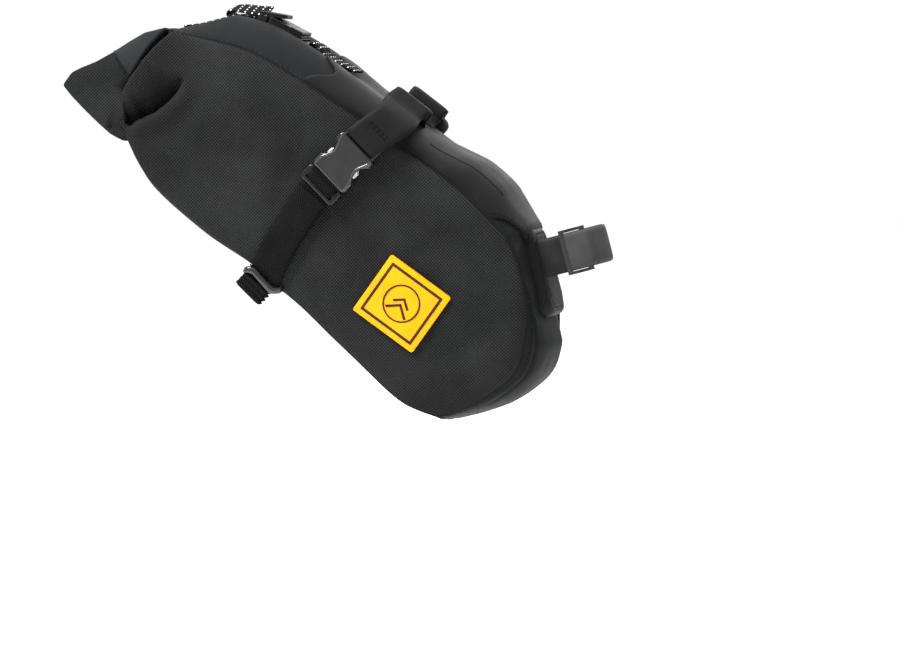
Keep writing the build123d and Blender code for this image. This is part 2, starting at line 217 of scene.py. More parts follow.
def smooth_cloth(name="smooth_cloth", light=0.006, blue=-0.04):
    """Fine coated nylon with a satin face and slight creases."""
    m = Nodes(name, Specular_IOR_Level=0.012)
    u, v = m.flat()
    pitch = 0.42 * MM
    weave = m.math("MULTIPLY", m.wave(u, pitch), m.wave(v, pitch))
    worn = m.noise(m.place(), 30, 4)
    colour = m.mix(m.span(worn, 0.3, 0.7), grey(light * 0.85, blue), grey(light * 1.15, blue))
    creases = m.bump(m.noise(m.place(), 75, 4), 0.9 * MM, 0.30)
    return m.finish(colour, m.span(worn, 0.3, 0.7, 0.5, 0.64), m.bump(weave, 0.03 * MM, 0.5, creases))


def coated_sheet(name="coated_sheet", light=0.0042):
    """Matt rubber-coated sheet with a fine leathery pebble."""
    m = Nodes(name, Specular_IOR_Level=0.03)
    place = m.place()
    pebble = m.noise(place, 2200, 2)
    worn = m.noise(place, 45, 4)
    colour = m.mix(m.span(worn, 0.3, 0.7), grey(light * 0.8), grey(light * 1.35))
    waves = m.bump(m.noise(place, 90, 3), 0.6 * MM, 0.3)
    return m.finish(colour, m.span(worn, 0.3, 0.7, 0.5, 0.66), m.bump(pebble, 0.05 * MM, 0.6, waves))


def webbing(name="webbing", light=0.0032, flecks=False):
    """Twill webbing: slanting ribs, and optional pale reflective flecks woven across it."""
    m = Nodes(name, Specular_IOR_Level=0.008)
    along, across = m.flat()
    folded = m.math("ABSOLUTE", across)
    ribs = m.wave(m.math("ADD", along, folded), 1.5 * MM)
    cross = m.wave(m.math("SUBTRACT", along, folded), 0.75 * MM)
    height = m.math("ADD", ribs, m.math("MULTIPLY", cross, 0.35))
    worn = m.noise(m.place(), 70, 4)
    # Colour: painted highlight along the ribs' tops, and a random worn tone.
    tone = m.math("ADD", m.math("MULTIPLY", ribs, 0.4), m.span(worn, 0.3, 0.7, 0.25, 0.6))
    colour = m.mix(tone, grey(light * 0.55), grey(light * 1.9))
    if flecks:
        row = m.math("GREATER_THAN", m.wave(along, 4.2 * MM), 0.88)
        track = m.math("GREATER_THAN", m.wave(across, 5.0 * MM), 0.3)
        colour = m.mix(m.math("MULTIPLY", row, track), colour, (0.36, 0.37, 0.36, 1))
    return m.finish(colour, m.span(worn, 0.3, 0.7, 0.6, 0.78), m.bump(height, 0.12 * MM, 0.8))


def plastic(name, light, rough, shine):
    """Moulded plastic with a fine spark-eroded grain, and sharp edges painted paler, partly as wear and
    partly as painted highlight.
    """
    m = Nodes(name, Specular_IOR_Level=shine)
    place = m.place()
    worn = m.noise(place, 120, 4)
    edge = m.tree.nodes.new("ShaderNodeNewGeometry").outputs["Pointiness"]
    wear_and_glint_edges = m.span(edge, 0.52, 0.62, 0, 0.5)
    # Paler on sharp edges: wear, and a painted highlight on the rims.
    colour = m.mix(wear_and_glint_edges, grey(light), grey(light * 4))
    return m.finish(colour, m.span(worn, 0.3, 0.7, *rough), m.bump(m.noise(place, 3000, 2), 0.02 * MM, 0.4))


def thread(name="thread", light=0.014):
    m = Nodes(name, Specular_IOR_Level=0.03)
    twist = m.noise(m.place(), 2500, 2)
    colour = m.mix(twist, grey(light * 0.6), grey(light * 1.3))
    return m.finish(colour, m.span(twist, 0.3, 0.7, 0.6, 0.8), m.bump(twist, 0.05 * MM, 0.6))


def leather(name, dark, pale):
    m = Nodes(name, Specular_IOR_Level=0.06)
    place = m.place()
    grain = m.noise(place, 1400, 3)
    worn = m.noise(place, 90, 4)
    colour = m.mix(m.span(worn, 0.32, 0.68), dark, pale)
    return m.finish(colour, m.span(worn, 0.3, 0.7, 0.38, 0.55), m.bump(grain, 0.06 * MM, 0.6))


def mesh_net():
    light = 0.012
    m = Nodes("open_mesh", Specular_IOR_Level=0.03)
    u, v = m.flat()
    cell = m.math("MULTIPLY", m.wave(u, 2.4 * MM), m.wave(v, 2.0 * MM))
    hole = m.span(m.math("ABSOLUTE", cell), 0.35, 0.6)
    # The recessed holes are painted dark: painted shade in the mesh.
    colour = m.mix(hole, grey(light * 2.2), grey(light * 0.2))
    return m.finish(colour, 0.75, m.bump(hole, -0.5 * MM, 1.0))


def metal(name):
    light = 0.6
    m = Nodes(name, Metallic=1.0)
    fine = m.noise(m.place(), 1500, 3)
    return m.finish(m.mix(fine, grey(light * 0.8), grey(light)), m.span(fine, 0.3, 0.7, 0.2, 0.35))


def floor_material():
    m = Nodes("floor", Specular_IOR_Level=0.2)
    cloud = m.noise(m.place(), 2, 3)
    return m.finish(m.mix(cloud, (0.94, 0.94, 0.945, 1), (0.96, 0.96, 0.965, 1)), 0.8)


MAT = {
    "textured": textured_cloth(),
    "smooth": smooth_cloth(),
    "lining": smooth_cloth("lining", 0.012, 0.0),
    "satin": smooth_cloth("satin_cloth", 0.011, -0.04),
    "strap": coated_sheet("strap_sheet", 0.009),
    # The folded tail's sheet is paler than the strap: a painted highlight.
    "strap_fold": coated_sheet("strap_fold_highlight_sheet", 0.022),
    "sheet": coated_sheet(),
    "pad_sheet": coated_sheet("pad_sheet", 0.0055),
    "binding": coated_sheet("binding", 0.004),
    "webbing": webbing(),
    "flecked": webbing("flecked_webbing", 0.004, True),
    "buckle": plastic("buckle_plastic", 0.004, (0.18, 0.28), shine=0.38),
    "plug": plastic("plug_plastic", 0.003, (0.2, 0.32), shine=0.16),
    "latch": plastic("latch_plastic", 0.003, (0.36, 0.5), shine=0.04),
    "keeper": plastic("keeper_plastic", 0.004, (0.18, 0.3), shine=0.3),
    # The prongs are painted pale as a painted glint, not the dark plastic's own colour.
    "prong": plastic("prong_glint_plastic", 0.13, (0.15, 0.25), shine=0.5),
    "ring": plastic("ring_plastic", 0.003, (0.2, 0.35), shine=0.2),
    "thread": thread(),
    "dark_thread": thread("dark_thread", 0.002),
    "patch": leather("patch_leather", (0.38, 0.150, 0.0012, 1), (0.43, 0.175, 0.0016, 1)),
    "print": leather("patch_print", (0.014, 0.007, 0.004, 1), (0.024, 0.012, 0.006, 1)),
    "net": mesh_net(),
    "magnet": metal("magnet"),
}

FLOOR_GAP = 0.16
bpy.ops.mesh.primitive_grid_add(x_subdivisions=8, y_subdivisions=8, size=14,
                                location=(0, 0, cad_box[0][2] - FLOOR_GAP))
floor = bpy.context.object
floor.name = "floor"
floor.data.materials.append(floor_material())


# ---------------------------------------------------------------- shapes in millimetres
def smoothstep(x, low=0.0, high=1.0):
    t = np.clip((np.asarray(x, float) - low) / (high - low), 0, 1)
    return t * t * (3 - 2 * t)


def through(points, count):
    """Evenly spaced points on a smooth curve through the given ones."""
    p = np.array(points, float)
    p = np.vstack([2 * p[0] - p[1], p, 2 * p[-1] - p[-2]])
    fine = []
    t = np.linspace(0, 1, 24, endpoint=False)[:, None]
    for a, b, c, d in zip(p[:-3], p[1:-2], p[2:-1], p[3:]):
        fine.append(0.5 * (2 * b + (c - a) * t + (2 * a - 5 * b + 4 * c - d) * t ** 2
                           + (3 * b - a - 3 * c + d) * t ** 3))
    fine = np.vstack(fine + [p[-2][None]])
    return resample(fine, count)


def run_lengths(line):
    """Distance along a line at each of its points."""
    return np.r_[0, np.cumsum(np.linalg.norm(np.diff(line, axis=0), axis=1))]


def resample(line, count):
    line = np.asarray(line, float)
    lengths = run_lengths(line)
    at = np.linspace(0, lengths[-1], count)
    return np.stack([np.interp(at, lengths, line[:, i]) for i in range(line.shape[1])], 1)


def unit(v):
    return v / np.maximum(np.linalg.norm(v, axis=-1, keepdims=True), 1e-9)


def value_noise(points, size, seed):
    """Smooth repeatable noise from -1 to 1 at 3-D points, with lumps of about the given size."""
    p = np.asarray(points, float) / size
    cell = np.floor(p).astype(np.int64)
    f = p - cell
    f = f * f * (3 - 2 * f)
    total = np.zeros(p.shape[:-1])
    for dx in (0, 1):
        for dy in (0, 1):
            for dz in (0, 1):
                c = cell + np.array([dx, dy, dz])
                h = (c[..., 0] * 73856093) ^ (c[..., 1] * 19349663) ^ (c[..., 2] * 83492791)
                h ^= seed * 2654435761
                h = ((h ^ (h >> 13)) * 1274126177) & 0x7FFFFFFF
                value = ((h ^ (h >> 16)) & 0xFFFF) / 32767.5 - 1
                w = np.where(dx, f[..., 0], 1 - f[..., 0]) * np.where(dy, f[..., 1], 1 - f[..., 1])
                total += value * w * np.where(dz, f[..., 2], 1 - f[..., 2])
    return total


def grid_faces(rows, columns, wrap=False):
    """The faces between neighbours in a grid of points, closed round its columns if it wraps."""
    faces = []
    for i in range(rows - 1):
        for j in range(columns if wrap else columns - 1):
            k = (j + 1) % columns
            low, high = i * columns, (i + 1) * columns
            faces.append([low + j, low + k, high + k, high + j])
    return faces


def capped_faces(count, n):
    """The faces of a stack of closed rings of n points, with both ends filled."""
    ends = [list(range(n)), list(range((count - 1) * n, count * n))]
    return grid_faces(count, n, wrap=True) + ends


def in_side_view(line, y=0.0):
    """Places from a line in the side view, at one distance from the middle plane."""
    line = np.asarray(line, float)
    return np.stack([line[:, 0], np.full(len(line), float(y)), line[:, 1]], 1)


def piece(name, verts, faces, body, material, uv=None, smooth=True, replaces=()):
    """A mesh object from millimetre points, with its cloth distances as UVs in metres.

    The body is one body's name, to which the piece is attached; two bodies and two places
    given instead are not used, and the piece is left unattached.
    """
    mesh = bpy.data.meshes.new(name)
    mesh.from_pydata((np.asarray(verts, float) * MM).tolist(), [], [list(f) for f in faces])
    mesh.validate()
    if uv is not None:
        layer = mesh.uv_layers.new(name="cloth")
        index = np.zeros(len(mesh.loops), np.int32)
        mesh.loops.foreach_get("vertex_index", index)
        layer.data.foreach_set("uv", (np.asarray(uv, float)[index] * MM).astype(np.float32).ravel())
    mesh.polygons.foreach_set("use_smooth", [smooth] * len(mesh.polygons))
    mesh.materials.append(MAT[material])
    o = bpy.data.objects.new(name, mesh)
    bpy.context.scene.collection.objects.link(o)
    if isinstance(body, str):
        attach(o, body)
    else:
        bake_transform(o)
    if replaces:
        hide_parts(*replaces)
    return o


def vertex_normals(verts, faces):
    p = verts[faces]
    n = np.cross(p[:, 2] - p[:, 0], p[:, 3] - p[:, 1])
    total = np.zeros_like(verts)
    for i in range(4):
        np.add.at(total, faces[:, i], n)
    return unit(total)


def shell(verts, faces, normals, outer, inner):
    """A closed skin between two offsets of part of a surface: points, faces, and where each came from."""
    faces = [list(f) for f in faces]
    used = sorted({i for f in faces for i in f})
    place = {v: k for k, v in enumerate(used)}
    top = verts[used] + normals[used] * outer
    low = verts[used] + normals[used] * inner
    n = len(used)
    out = [[place[i] for i in f] for f in faces]
    back = [[place[i] + n for i in reversed(f)] for f in faces]
    edges = {}
    for f in out:
        for a, b in zip(f, f[1:] + f[:1]):
            edges[(a, b)] = True
    rim = [[b, a, a + n, b + n] for a, b in edges if (b, a) not in edges]
    return np.vstack([top, low]), out + back + rim, used + used


# ---------------------------------------------------------------- the bag's form
TOP = [(-225, 126), (-201, 120), (-177, 112.5), (-148, 96), (-119, 77.5), (-93, 60.5), (-61, 37.5),
       (-44, 22), (-33, 10)]
NOSE = [(-33, 10), (-26, -3), (-20.5, -24), (-20, -42), (-24.5, -63), (-32, -73), (-44, -82), (-57, -89),
        (-70, -94)]
BOTTOM = [(-250.4, 69.9), (-243, 48), (-231, 32), (-206, 10.5), (-181, -6), (-166, -18.5), (-148, -33.5),
          (-119, -61), (-93, -84.5), (-70, -94)]
REAR = [(-250.4, 69.9), (-254.5, 74.4), (-255.6, 81.2), (-253.9, 90.4), (-248.1, 100.1), (-235.3, 115.7),
        (-225, 126)]
NU, NV, NT = 128, 64, 60

top_edge = through(TOP, NU + 1)
nose_edge = through(NOSE, NV + 1)[::-1]
bottom_edge = through(BOTTOM, NU + 1)
rear_edge = through(REAR, NV + 1)

u = np.linspace(0, 1, NU + 1)[:, None, None]
v = np.linspace(0, 1, NV + 1)[None, :, None]
flat = ((1 - v) * bottom_edge[:, None] + v * top_edge[:, None]
        + (1 - u) * rear_edge[None] + u * nose_edge[None])
flat -= ((1 - u) * (1 - v) * bottom_edge[0] + (1 - u) * v * top_edge[0]
         + u * (1 - v) * bottom_edge[-1] + u * v * top_edge[-1])
u, v = np.broadcast_arrays(u[..., 0], v[..., 0])
px, pz = flat[..., 0], flat[..., 1]


def seam_half_width(x):
    """How far the seams stand from the middle plane: narrow at the nose, wide at the mouth."""
    back = smoothstep(-x, 20, 150)
    mouth = smoothstep(-x, 190, 250)
    return 44.5 + 4.0 * back + 7.5 * mouth


def to_line(x, z, line):
    """Signed distance from a line in the side view, positive above or left, and how far along, 0 to 1."""
    line = np.asarray(line, float)
    a, b = line[:-1], line[1:]
    d = b - a
    p = np.stack([x, z], -1)[..., None, :]
    t = np.clip(((p - a) * d).sum(-1) / (d * d).sum(-1), 0, 1)
    near = a + t[..., None] * d
    gap = np.linalg.norm(p - near, axis=-1)
    k = gap.argmin(-1)
    pick = lambda q: np.take_along_axis(q, k[..., None], -1)[..., 0]
    side = d[:, 0] * (p[..., 1] - a[:, 1]) - d[:, 1] * (p[..., 0] - a[:, 0])
    lengths = run_lengths(line)
    along = (lengths[k] + pick(t) * np.linalg.norm(d, axis=1)[k]) / lengths[-1]
    return np.sign(pick(side)) * pick(gap), along


LIP = through([(-250.4, 69.5), (-244, 75.1), (-235.3, 78.7), (-229.5, 82.7), (-222.5, 89.1), (-217.9, 96.6),
               (-216.1, 101.2)], 40)
CREASE = through([(-247.2, 91), (-245.8, 84), (-244, 75.6)], 12)
# Soft folds in the sides: the line each one follows, its depth and its breadth
SIDE_FOLDS = [([(-236, 66), (-222, 46), (-196, 22)], 2.0, 6.5),
              ([(-214, 92), (-190, 78), (-160, 66)], 1.3, 8.0),
              ([(-226, 60), (-200, 48), (-168, 40)], -1.2, 7.0),
              ([(-146, 70), (-156, 44), (-172, 12)], 1.5, 7.0),
              ([(-118, 40), (-128, 14), (-138, -14)], 1.0, 8.0),
              ([(-64, 18), (-78, -2), (-96, -10)], 0.9, 8.0),
              ([(-34, -40), (-50, -52), (-74, -58)], 1.3, 6.0),
              ([(-48, -72), (-64, -68), (-84, -62)], -1.0, 6.0)]


def side_height(x, z, u, v):
    """How far the side panel stands out of the plane of its seams."""
    f_u = 1 - np.abs(2 * u - 1) ** 7
    f_u = np.where(u < 0.5, 1 - (1 - f_u) * 0.35, f_u)
    f_v = 1 - np.abs(2 * v - 1) ** 3.6
    h = 7.2 * np.clip(f_u, 0, 1) ** 0.55 * np.clip(f_v, 0, 1) ** 0.6
    gap, along = to_line(x, z, LIP)
    ends = smoothstep(along, -0.02, 0.08) * (1 - smoothstep(along, 0.72, 1.0))
    above = smoothstep(gap, -0.4, 1.6) * np.exp(-np.clip(gap, 0, None) / 11.0)
    h -= 17.0 * above * ends
    h += 2.2 * np.exp(-((gap + 4.5) / 5.0) ** 2) * ends
    for path, depth, breadth in SIDE_FOLDS:
        off, run = to_line(x, z, path)
        h -= (depth * np.exp(-(off / breadth) ** 2) * np.sin(math.pi * np.clip(run, 0, 1))
              * smoothstep(f_u * f_v, 0.1, 0.7))
    gap2, along2 = to_line(x, z, CREASE)
    h -= (5.0 * smoothstep(gap2, -2.5, 0.3) * np.exp(-np.clip(gap2, 0, None) / 3.5)
          * smoothstep(along2, 0, 0.5) * (gap > -1))
    return h


def folds(x, y, z, amount):
    """Soft wrinkles that fan out from where the bag is held."""
    p = np.stack([x, y, z], -1)
    return amount * sum(share * value_noise(p, size, seed)
                        for share, size, seed in ((0.9, 34, 3), (0.45, 15, 5), (0.16, 6.5, 7)))


def side_surface(hand):
    w = seam_half_width(px)
    h = side_height(px, pz, u, v)
    inner = np.clip(np.minimum.reduce([v * NV, (1 - v) * NV, (1 - u) * NU]) / 6, 0, 1)
    h = h + folds(px, hand * w, pz, 1.1) * inner
    return np.stack([px, hand * (w + h), pz], -1)


def crown(along, x, z):
    """How far the gusset stands proud of its seams: on top by x, then round the nose and under the bag."""
    over = np.interp(x, [-225, -214, -200, -180, -155, -130, -105, -80, -62, -48, -33],
                     [2.5, 9, 18, 19.5, 18.5, 14.5, 11, 11, 15.5, 15.5, 10])
    nose = np.interp(-z, [-10, -3, 5, 32, 42, 52, 63, 73, 82, 89, 94],
                     [10, 5, 2.5, 2.5, 7, 12, 12, 10.5, 9, 6.5, 4.5])
    under = np.interp(along, [0.585, 0.62, 0.8, 0.93, 1.0], [4.5, 3.5, 4.5, 3.0, 0.5])
    return np.where(along < 0.378, over, np.where(along < 0.585, nose, under))


near, far_side = side_surface(-1), side_surface(1)
loop_u = np.r_[np.arange(NU + 1), np.full(NV, NU), np.arange(NU - 1, -1, -1)]
loop_v = np.r_[np.full(NU + 1, NV), np.arange(NV - 1, -1, -1), np.zeros(NU, int)]
edge_near, edge_far = near[loop_u, loop_v], far_side[loop_u, loop_v]
flat_loop = edge_near[:, [0, 2]]
step = np.gradient(flat_loop, axis=0)
out = unit(np.stack([-step[:, 1], step[:, 0]], 1))
for _ in range(10):
    out[1:-1] = unit(out[:-2] + 2 * out[1:-1] + out[2:])
lengths = run_lengths(flat_loop)
along = lengths / lengths[-1]
t = np.linspace(-1, 1, NT + 1)
profile = (1 - np.abs(t) ** 2.6) ** 0.75
rise = crown(along, flat_loop[:, 0], flat_loop[:, 1])
gusset = edge_near[:, None] * (1 - t[None, :, None]) / 2 + edge_far[:, None] * (1 + t[None, :, None]) / 2
lift = rise[:, None] * profile[None]
dent = 1 - 0.28 * np.exp(-(t[None] / 0.33) ** 2) * np.exp(-((along[:, None] - 0.13) / 0.09) ** 2)
lift = lift * dent
# A rolled ridge beside each nose seam and the pleat behind it
nose_part = np.interp(-flat_loop[:, 1], [15, 27, 64, 84], [0, 1, 1, 0]) * (along > 0.378) * (along < 0.62)
pleat = sum(height * np.exp(-((np.abs(t) - at) / breadth) ** 2)
            for height, at, breadth in ((2.2, 0.925, 0.035), (-0.8, 0.98, 0.015), (-2.4, 0.83, 0.03)))
lift = lift + nose_part[:, None] * pleat[None]
gusset[..., 0] += out[:, None, 0] * lift
gusset[..., 2] += out[:, None, 1] * lift
rumple = folds(gusset[..., 0], gusset[..., 1], gusset[..., 2], 0.8) * profile[None]
gusset[..., 0] += out[:, None, 0] * rumple
gusset[..., 2] += out[:, None, 1] * rumple

# One surface: both sides and the gusset, joined along the seams
ns = (NU + 1) * (NV + 1)
verts = [near.reshape(-1, 3), far_side.reshape(-1, 3)]
index_near = np.arange(ns).reshape(NU + 1, NV + 1)
index_far = index_near + ns
gusset_index = np.zeros((len(loop_u), NT + 1), int)
gusset_index[:, 0] = index_near[loop_u, loop_v]
gusset_index[:, -1] = index_far[loop_u, loop_v]
inner_count = len(loop_u) * (NT - 1)
gusset_index[:, 1:-1] = 2 * ns + np.arange(inner_count).reshape(len(loop_u), NT - 1)
verts.append(gusset[:, 1:-1].reshape(-1, 3))
verts = np.vstack(verts)


def index_faces(index):
    a, b, c, d = index[:-1, :-1], index[1:, :-1], index[1:, 1:], index[:-1, 1:]
    return np.stack([a, b, c, d], -1).reshape(-1, 4)


def facing(faces, way):
    """The faces turned so that together they look along a direction at each corner."""
    corners = verts[faces]
    looks = np.cross(corners[:, 2] - corners[:, 0], corners[:, 3] - corners[:, 1])
    return faces if (looks * way[faces[:, 0]]).sum() > 0 else faces[:, ::-1]


outward = verts - verts.mean(0)
outward[:, 1] *= 4
groups = [facing(index_faces(i), outward) for i in (index_near, index_far, gusset_index)]
faces_near, faces_far, faces_gusset = groups
every = np.vstack(groups)
normals = vertex_normals(verts, every)

uv = np.zeros((len(verts), 2))
uv[:2 * ns] = verts[:2 * ns][:, [0, 2]]
arc = np.repeat(lengths[:, None], NT + 1, 1)
gusset_uv = np.zeros((len(verts), 2))
gusset_uv[gusset_index.ravel()] = np.stack([arc, gusset[..., 1]], -1).reshape(-1, 2)


def skin(name, faces, outer, inner, material, uvs, replaces):
    v2, f2, source = shell(verts, faces, normals, outer, inner)
    return piece(name, v2, f2, "bag", material, uv=uvs[source], replaces=replaces)


skin("side_right", faces_near, 0, -0.9, "textured", uv, ["side_panel_right"])
skin("side_left", faces_far, 0, -0.9, "textured", uv, ["side_panel_left"])
skin("gusset", faces_gusset, 0, -0.9, "smooth", gusset_uv,
     ["top_panel", "nose_panel", "bottom_panel", "seam_binding_right", "seam_binding_left", "mouth_binding"])
skin("inner_lining", every, -1.0, -1.6, "lining", uv, ["liner"])

# ---------------------------------------------------------------- straps and threads that lie on the form
tree = BVHTree.FromPolygons([tuple(p) for p in verts], [tuple(int(i) for i in f) for f in every])


def closed(points, faces):
    """The faces turned to look outwards."""
    points = np.asarray(points, float)
    total = 0.0
    for f in faces:
        for a, b in zip(f[1:-1], f[2:]):
            total += np.dot(points[f[0]], np.cross(points[a], points[b]))
    return [list(f)[::-1] for f in faces] if total < 0 else [list(f) for f in faces]


def grid_ups(grid, towards):
    """Unit normals of a grid of points, on the side of a rough direction."""
    n = unit(np.cross(np.gradient(grid, axis=0), np.gradient(grid, axis=1)))
    return n * np.sign((n * towards).sum(-1, keepdims=True))


def band(name, grid, towards, thick, body, material, replaces=(), soft=0.45):
    """A closed strap over a grid of points along and across it, with rounded selvedges."""
    grid = np.asarray(grid, float)
    rows, columns = grid.shape[:2]
    ups = grid_ups(grid, np.broadcast_to(towards, grid.shape))
    s = np.linspace(-1, 1, columns)[None, :, None]
    round_off = soft * np.abs(s) ** 10
    low, high = grid + ups * thick * round_off * 0.5, grid + ups * thick * (1 - round_off)
    ring = np.concatenate([low, high[:, ::-1]], 1)
    n = 2 * columns
    sides = grid_faces(rows, n, wrap=True)
    first, last = ([[row * n + j, row * n + j + 1, row * n + n - 2 - j, row * n + n - 1 - j]
                    for j in range(columns - 1)] for row in (0, rows - 1))
    turned = closed(ring.reshape(-1, 3), sides)
    if turned[0] == sides[0]:
        first = [f[::-1] for f in first]
    else:
        last = [f[::-1] for f in last]
    along = run_lengths(grid[:, columns // 2])
    across = np.linspace(-0.5, 0.5, columns) * np.linalg.norm(grid[0, -1] - grid[0, 0])
    line = np.stack(np.meshgrid(along, across, indexing="ij"), -1)
    uvs = np.concatenate([line, line[:, ::-1]], 1).reshape(-1, 2)
    return piece(name, ring.reshape(-1, 3), turned + first + last, body, material, uv=uvs,
                 replaces=replaces)


def strip(centres, sides, halves, columns=13):
    """A grid across a centre line."""
    centres = np.asarray(centres, float)
    sides = unit(np.broadcast_to(np.asarray(sides, float), centres.shape))
    halves = np.broadcast_to(np.asarray(halves, float), (len(centres),))
    s = np.linspace(-1, 1, columns)
    return centres[:, None] + sides[:, None] * (halves[:, None] * s[None])[..., None]


def blur(a, times=1):
    for _ in range(times):
        a = np.pad(a, 1, mode="edge")
        a = (a[:-2, 1:-1] + a[2:, 1:-1] + 2 * a[1:-1, 1:-1] + a[1:-1, :-2] + a[1:-1, 2:]) / 6
    return a


def lay(grid, inward, gap, reach=60.0, soften=3):
    """Moves a grid onto the bag along a direction, as a stiff strap lies: it bridges small dips."""
    grid = np.asarray(grid, float)
    inward = unit(np.broadcast_to(np.asarray(inward, float), grid.shape))
    drop = np.zeros(grid.shape[:2])
    for i in range(grid.shape[0]):
        for j in range(grid.shape[1]):
            start = grid[i, j] - inward[i, j] * reach
            found = tree.ray_cast(Vector(start), Vector(inward[i, j]))[3]
            drop[i, j] = found - reach if found is not None else np.nan
    middle = np.nanmedian(drop)
    drop = np.where(np.isnan(drop), middle, drop)
    smooth = blur(drop, soften)
    smooth = np.minimum(smooth, blur(np.minimum(smooth, drop), 1))
    return grid + inward * (smooth - gap)[..., None]


def stitches(name, line, ups, body, pitch, length, thick, material="thread"):
    """Separate stitches along a line of points, each a small spindle of thread lying on the cloth."""
    line = np.asarray(line, float)
    ups = np.broadcast_to(np.asarray(ups, float), line.shape)
    lengths = run_lengths(line)
    count = max(2, int(lengths[-1] / pitch))
    middle = (np.arange(count) + 0.5) * lengths[-1] / count
    pick = lambda q, at: np.stack([np.interp(at, lengths, q[:, k]) for k in range(3)], -1)
    centre, up = pick(line, middle), unit(pick(ups, middle))
    ahead = unit(pick(line, middle + 0.5) - pick(line, middle - 0.5))
    aside = unit(np.cross(ahead, up))
    ring_at, ring_r = np.array([-1, -0.7, 0, 0.7, 1]), np.array([0.1, 0.75, 1, 0.75, 0.1])
    rings, spokes = len(ring_at), 6
    angle = np.arange(spokes) * 2 * math.pi / spokes
    points = (centre[:, None, None] + ahead[:, None, None] * (ring_at * length / 2)[None, :, None, None]
              + (aside[:, None, None] * np.cos(angle)[None, None, :, None]
                 + up[:, None, None] * np.sin(angle)[None, None, :, None])
              * (ring_r * thick)[None, :, None, None])
    points = points - up[:, None, None] * (thick * 0.8 * ring_at ** 2)[None, :, None, None]
    one = grid_faces(rings, spokes, wrap=True)
    one += [list(range(spokes - 1, -1, -1)), list(range((rings - 1) * spokes, rings * spokes))]
    one = closed(points[0].reshape(-1, 3) - centre[0], one)
    faces = [[i + k * rings * spokes for i in f] for k in range(count) for f in one]
    piece(name, points.reshape(-1, 3), faces, body, material)


def tube(name, line, radius, body, material, sides=6):
    """A round cord along a line of points."""
    line = np.asarray(line, float)
    ahead = unit(np.gradient(line, axis=0))
    up = unit(np.cross(ahead, np.roll(ahead, 1, axis=1) + 0.3))
    for i in range(1, len(up)):
        up[i] = unit(up[i - 1] - ahead[i] * np.dot(up[i - 1], ahead[i]))
    aside = np.cross(ahead, up)
    angle = np.arange(sides) * 2 * math.pi / sides
    ring = line[:, None] + radius * (up[:, None] * np.cos(angle)[None, :, None]
                                     + aside[:, None] * np.sin(angle)[None, :, None])
    faces = grid_faces(len(line), sides, wrap=True)
    last = (len(line) - 1) * sides
    faces += [list(range(sides - 1, -1, -1)), list(range(last, last + sides))]
    points = ring.reshape(-1, 3)
    piece(name, points, closed(points, faces), body, material)


gusset_ups = normals[gusset_index]


def on_gusset(s, t):
    """Places and normals on the gusset, s mm along the seams from the mouth's top and t across, -1 to 1."""
    s, t = np.broadcast_arrays(np.asarray(s, float), np.asarray(t, float))
    i = np.interp(s, lengths, np.arange(len(lengths)))
    j = (t + 1) / 2 * NT
    i0, j0 = np.clip(i.astype(int), 0, len(lengths) - 2), np.clip(j.astype(int), 0, NT - 1)
    fi, fj = (i - i0)[..., None], (j - j0)[..., None]

    def read(a):
        before = a[i0, j0] * (1 - fj) + a[i0, j0 + 1] * fj
        after = a[i0 + 1, j0] * (1 - fj) + a[i0 + 1, j0 + 1] * fj
        return before * (1 - fi) + after * fi

    return read(gusset), unit(read(gusset_ups))


def top_at(x):
    """Distance along the seam at which the top seam reaches x."""
    k = NU + 1
    return np.interp(x, flat_loop[:k, 0], lengths[:k])


nose_end = lengths[NU + NV]

# Seams: a dark bound groove all round, thread on the gusset above and behind it
loop_s = np.linspace(lengths[0] + 1, lengths[-1] - 1, 420)
for hand, t_at, label in ((-1, -1.0, "right"), (1, 1.0, "left")):
    at, up = on_gusset(loop_s, t_at)
    tube(f"seam_cord_{label}", at - up * 0.3, 0.5, "bag", "binding")
    run = np.linspace(top_at(-222), top_at(-96), 260)
    at, up = on_gusset(run, t_at * 0.98)
    stitches(f"top_thread_{label}", at, up, "bag", 3.4, 2.2, 0.26)
    run = np.linspace(top_at(-96), nose_end, 260)
    at, up = on_gusset(run, t_at * 0.95)
    stitches(f"front_thread_{label}", at, up, "bag", 3.4, 2.2, 0.26, "dark_thread")

# Front wrap
wrap_t = np.linspace(-0.985, 0.985, 41)
end_s = top_at(-42) + 1.0 + np.interp(np.abs(wrap_t), [0, 0.3, 0.55, 0.75, 0.9, 1], [22, 23, 20, 11, 3, 0])
start_s = top_at(-146) + 6 * np.cos(wrap_t * 9)
rows = np.linspace(0, 1, 70)[:, None]
wrap_s = start_s[None] * (1 - rows) + end_s[None] * rows
wrap_at, wrap_up = on_gusset(wrap_s, wrap_t[None])
band("wrap", wrap_at + wrap_up * 0.25, wrap_up, 1.1, "bag", "sheet", ["front_wrap"], 0.6)
for hand, label in HANDS:
    run = np.linspace(top_at(-84), top_at(-46), 60)
    crease_at, crease_up = on_gusset(run, hand * np.linspace(0.66, 0.6, 60))
    tube(f"wrap_crease_{label}", crease_at + crease_up * 1.15, 0.5, "bag", "binding")
edge_at, edge_up = on_gusset(end_s - 3.0, wrap_t)
stitches("wrap_thread", edge_at + edge_up * 1.4, edge_up, "bag", 3.0, 2.0, 0.26,
         "dark_thread")

# The board that stiffens the floor of the bag
board_s = np.linspace(nose_end + 22, nose_end + 112, 40)
board_at, board_up = on_gusset(board_s[:, None], np.linspace(-0.82, 0.82, 15)[None])
band("floor_board", board_at - board_up * 3.4, board_up, 1.2, "bag", "latch", ["base_board"], 0.3)


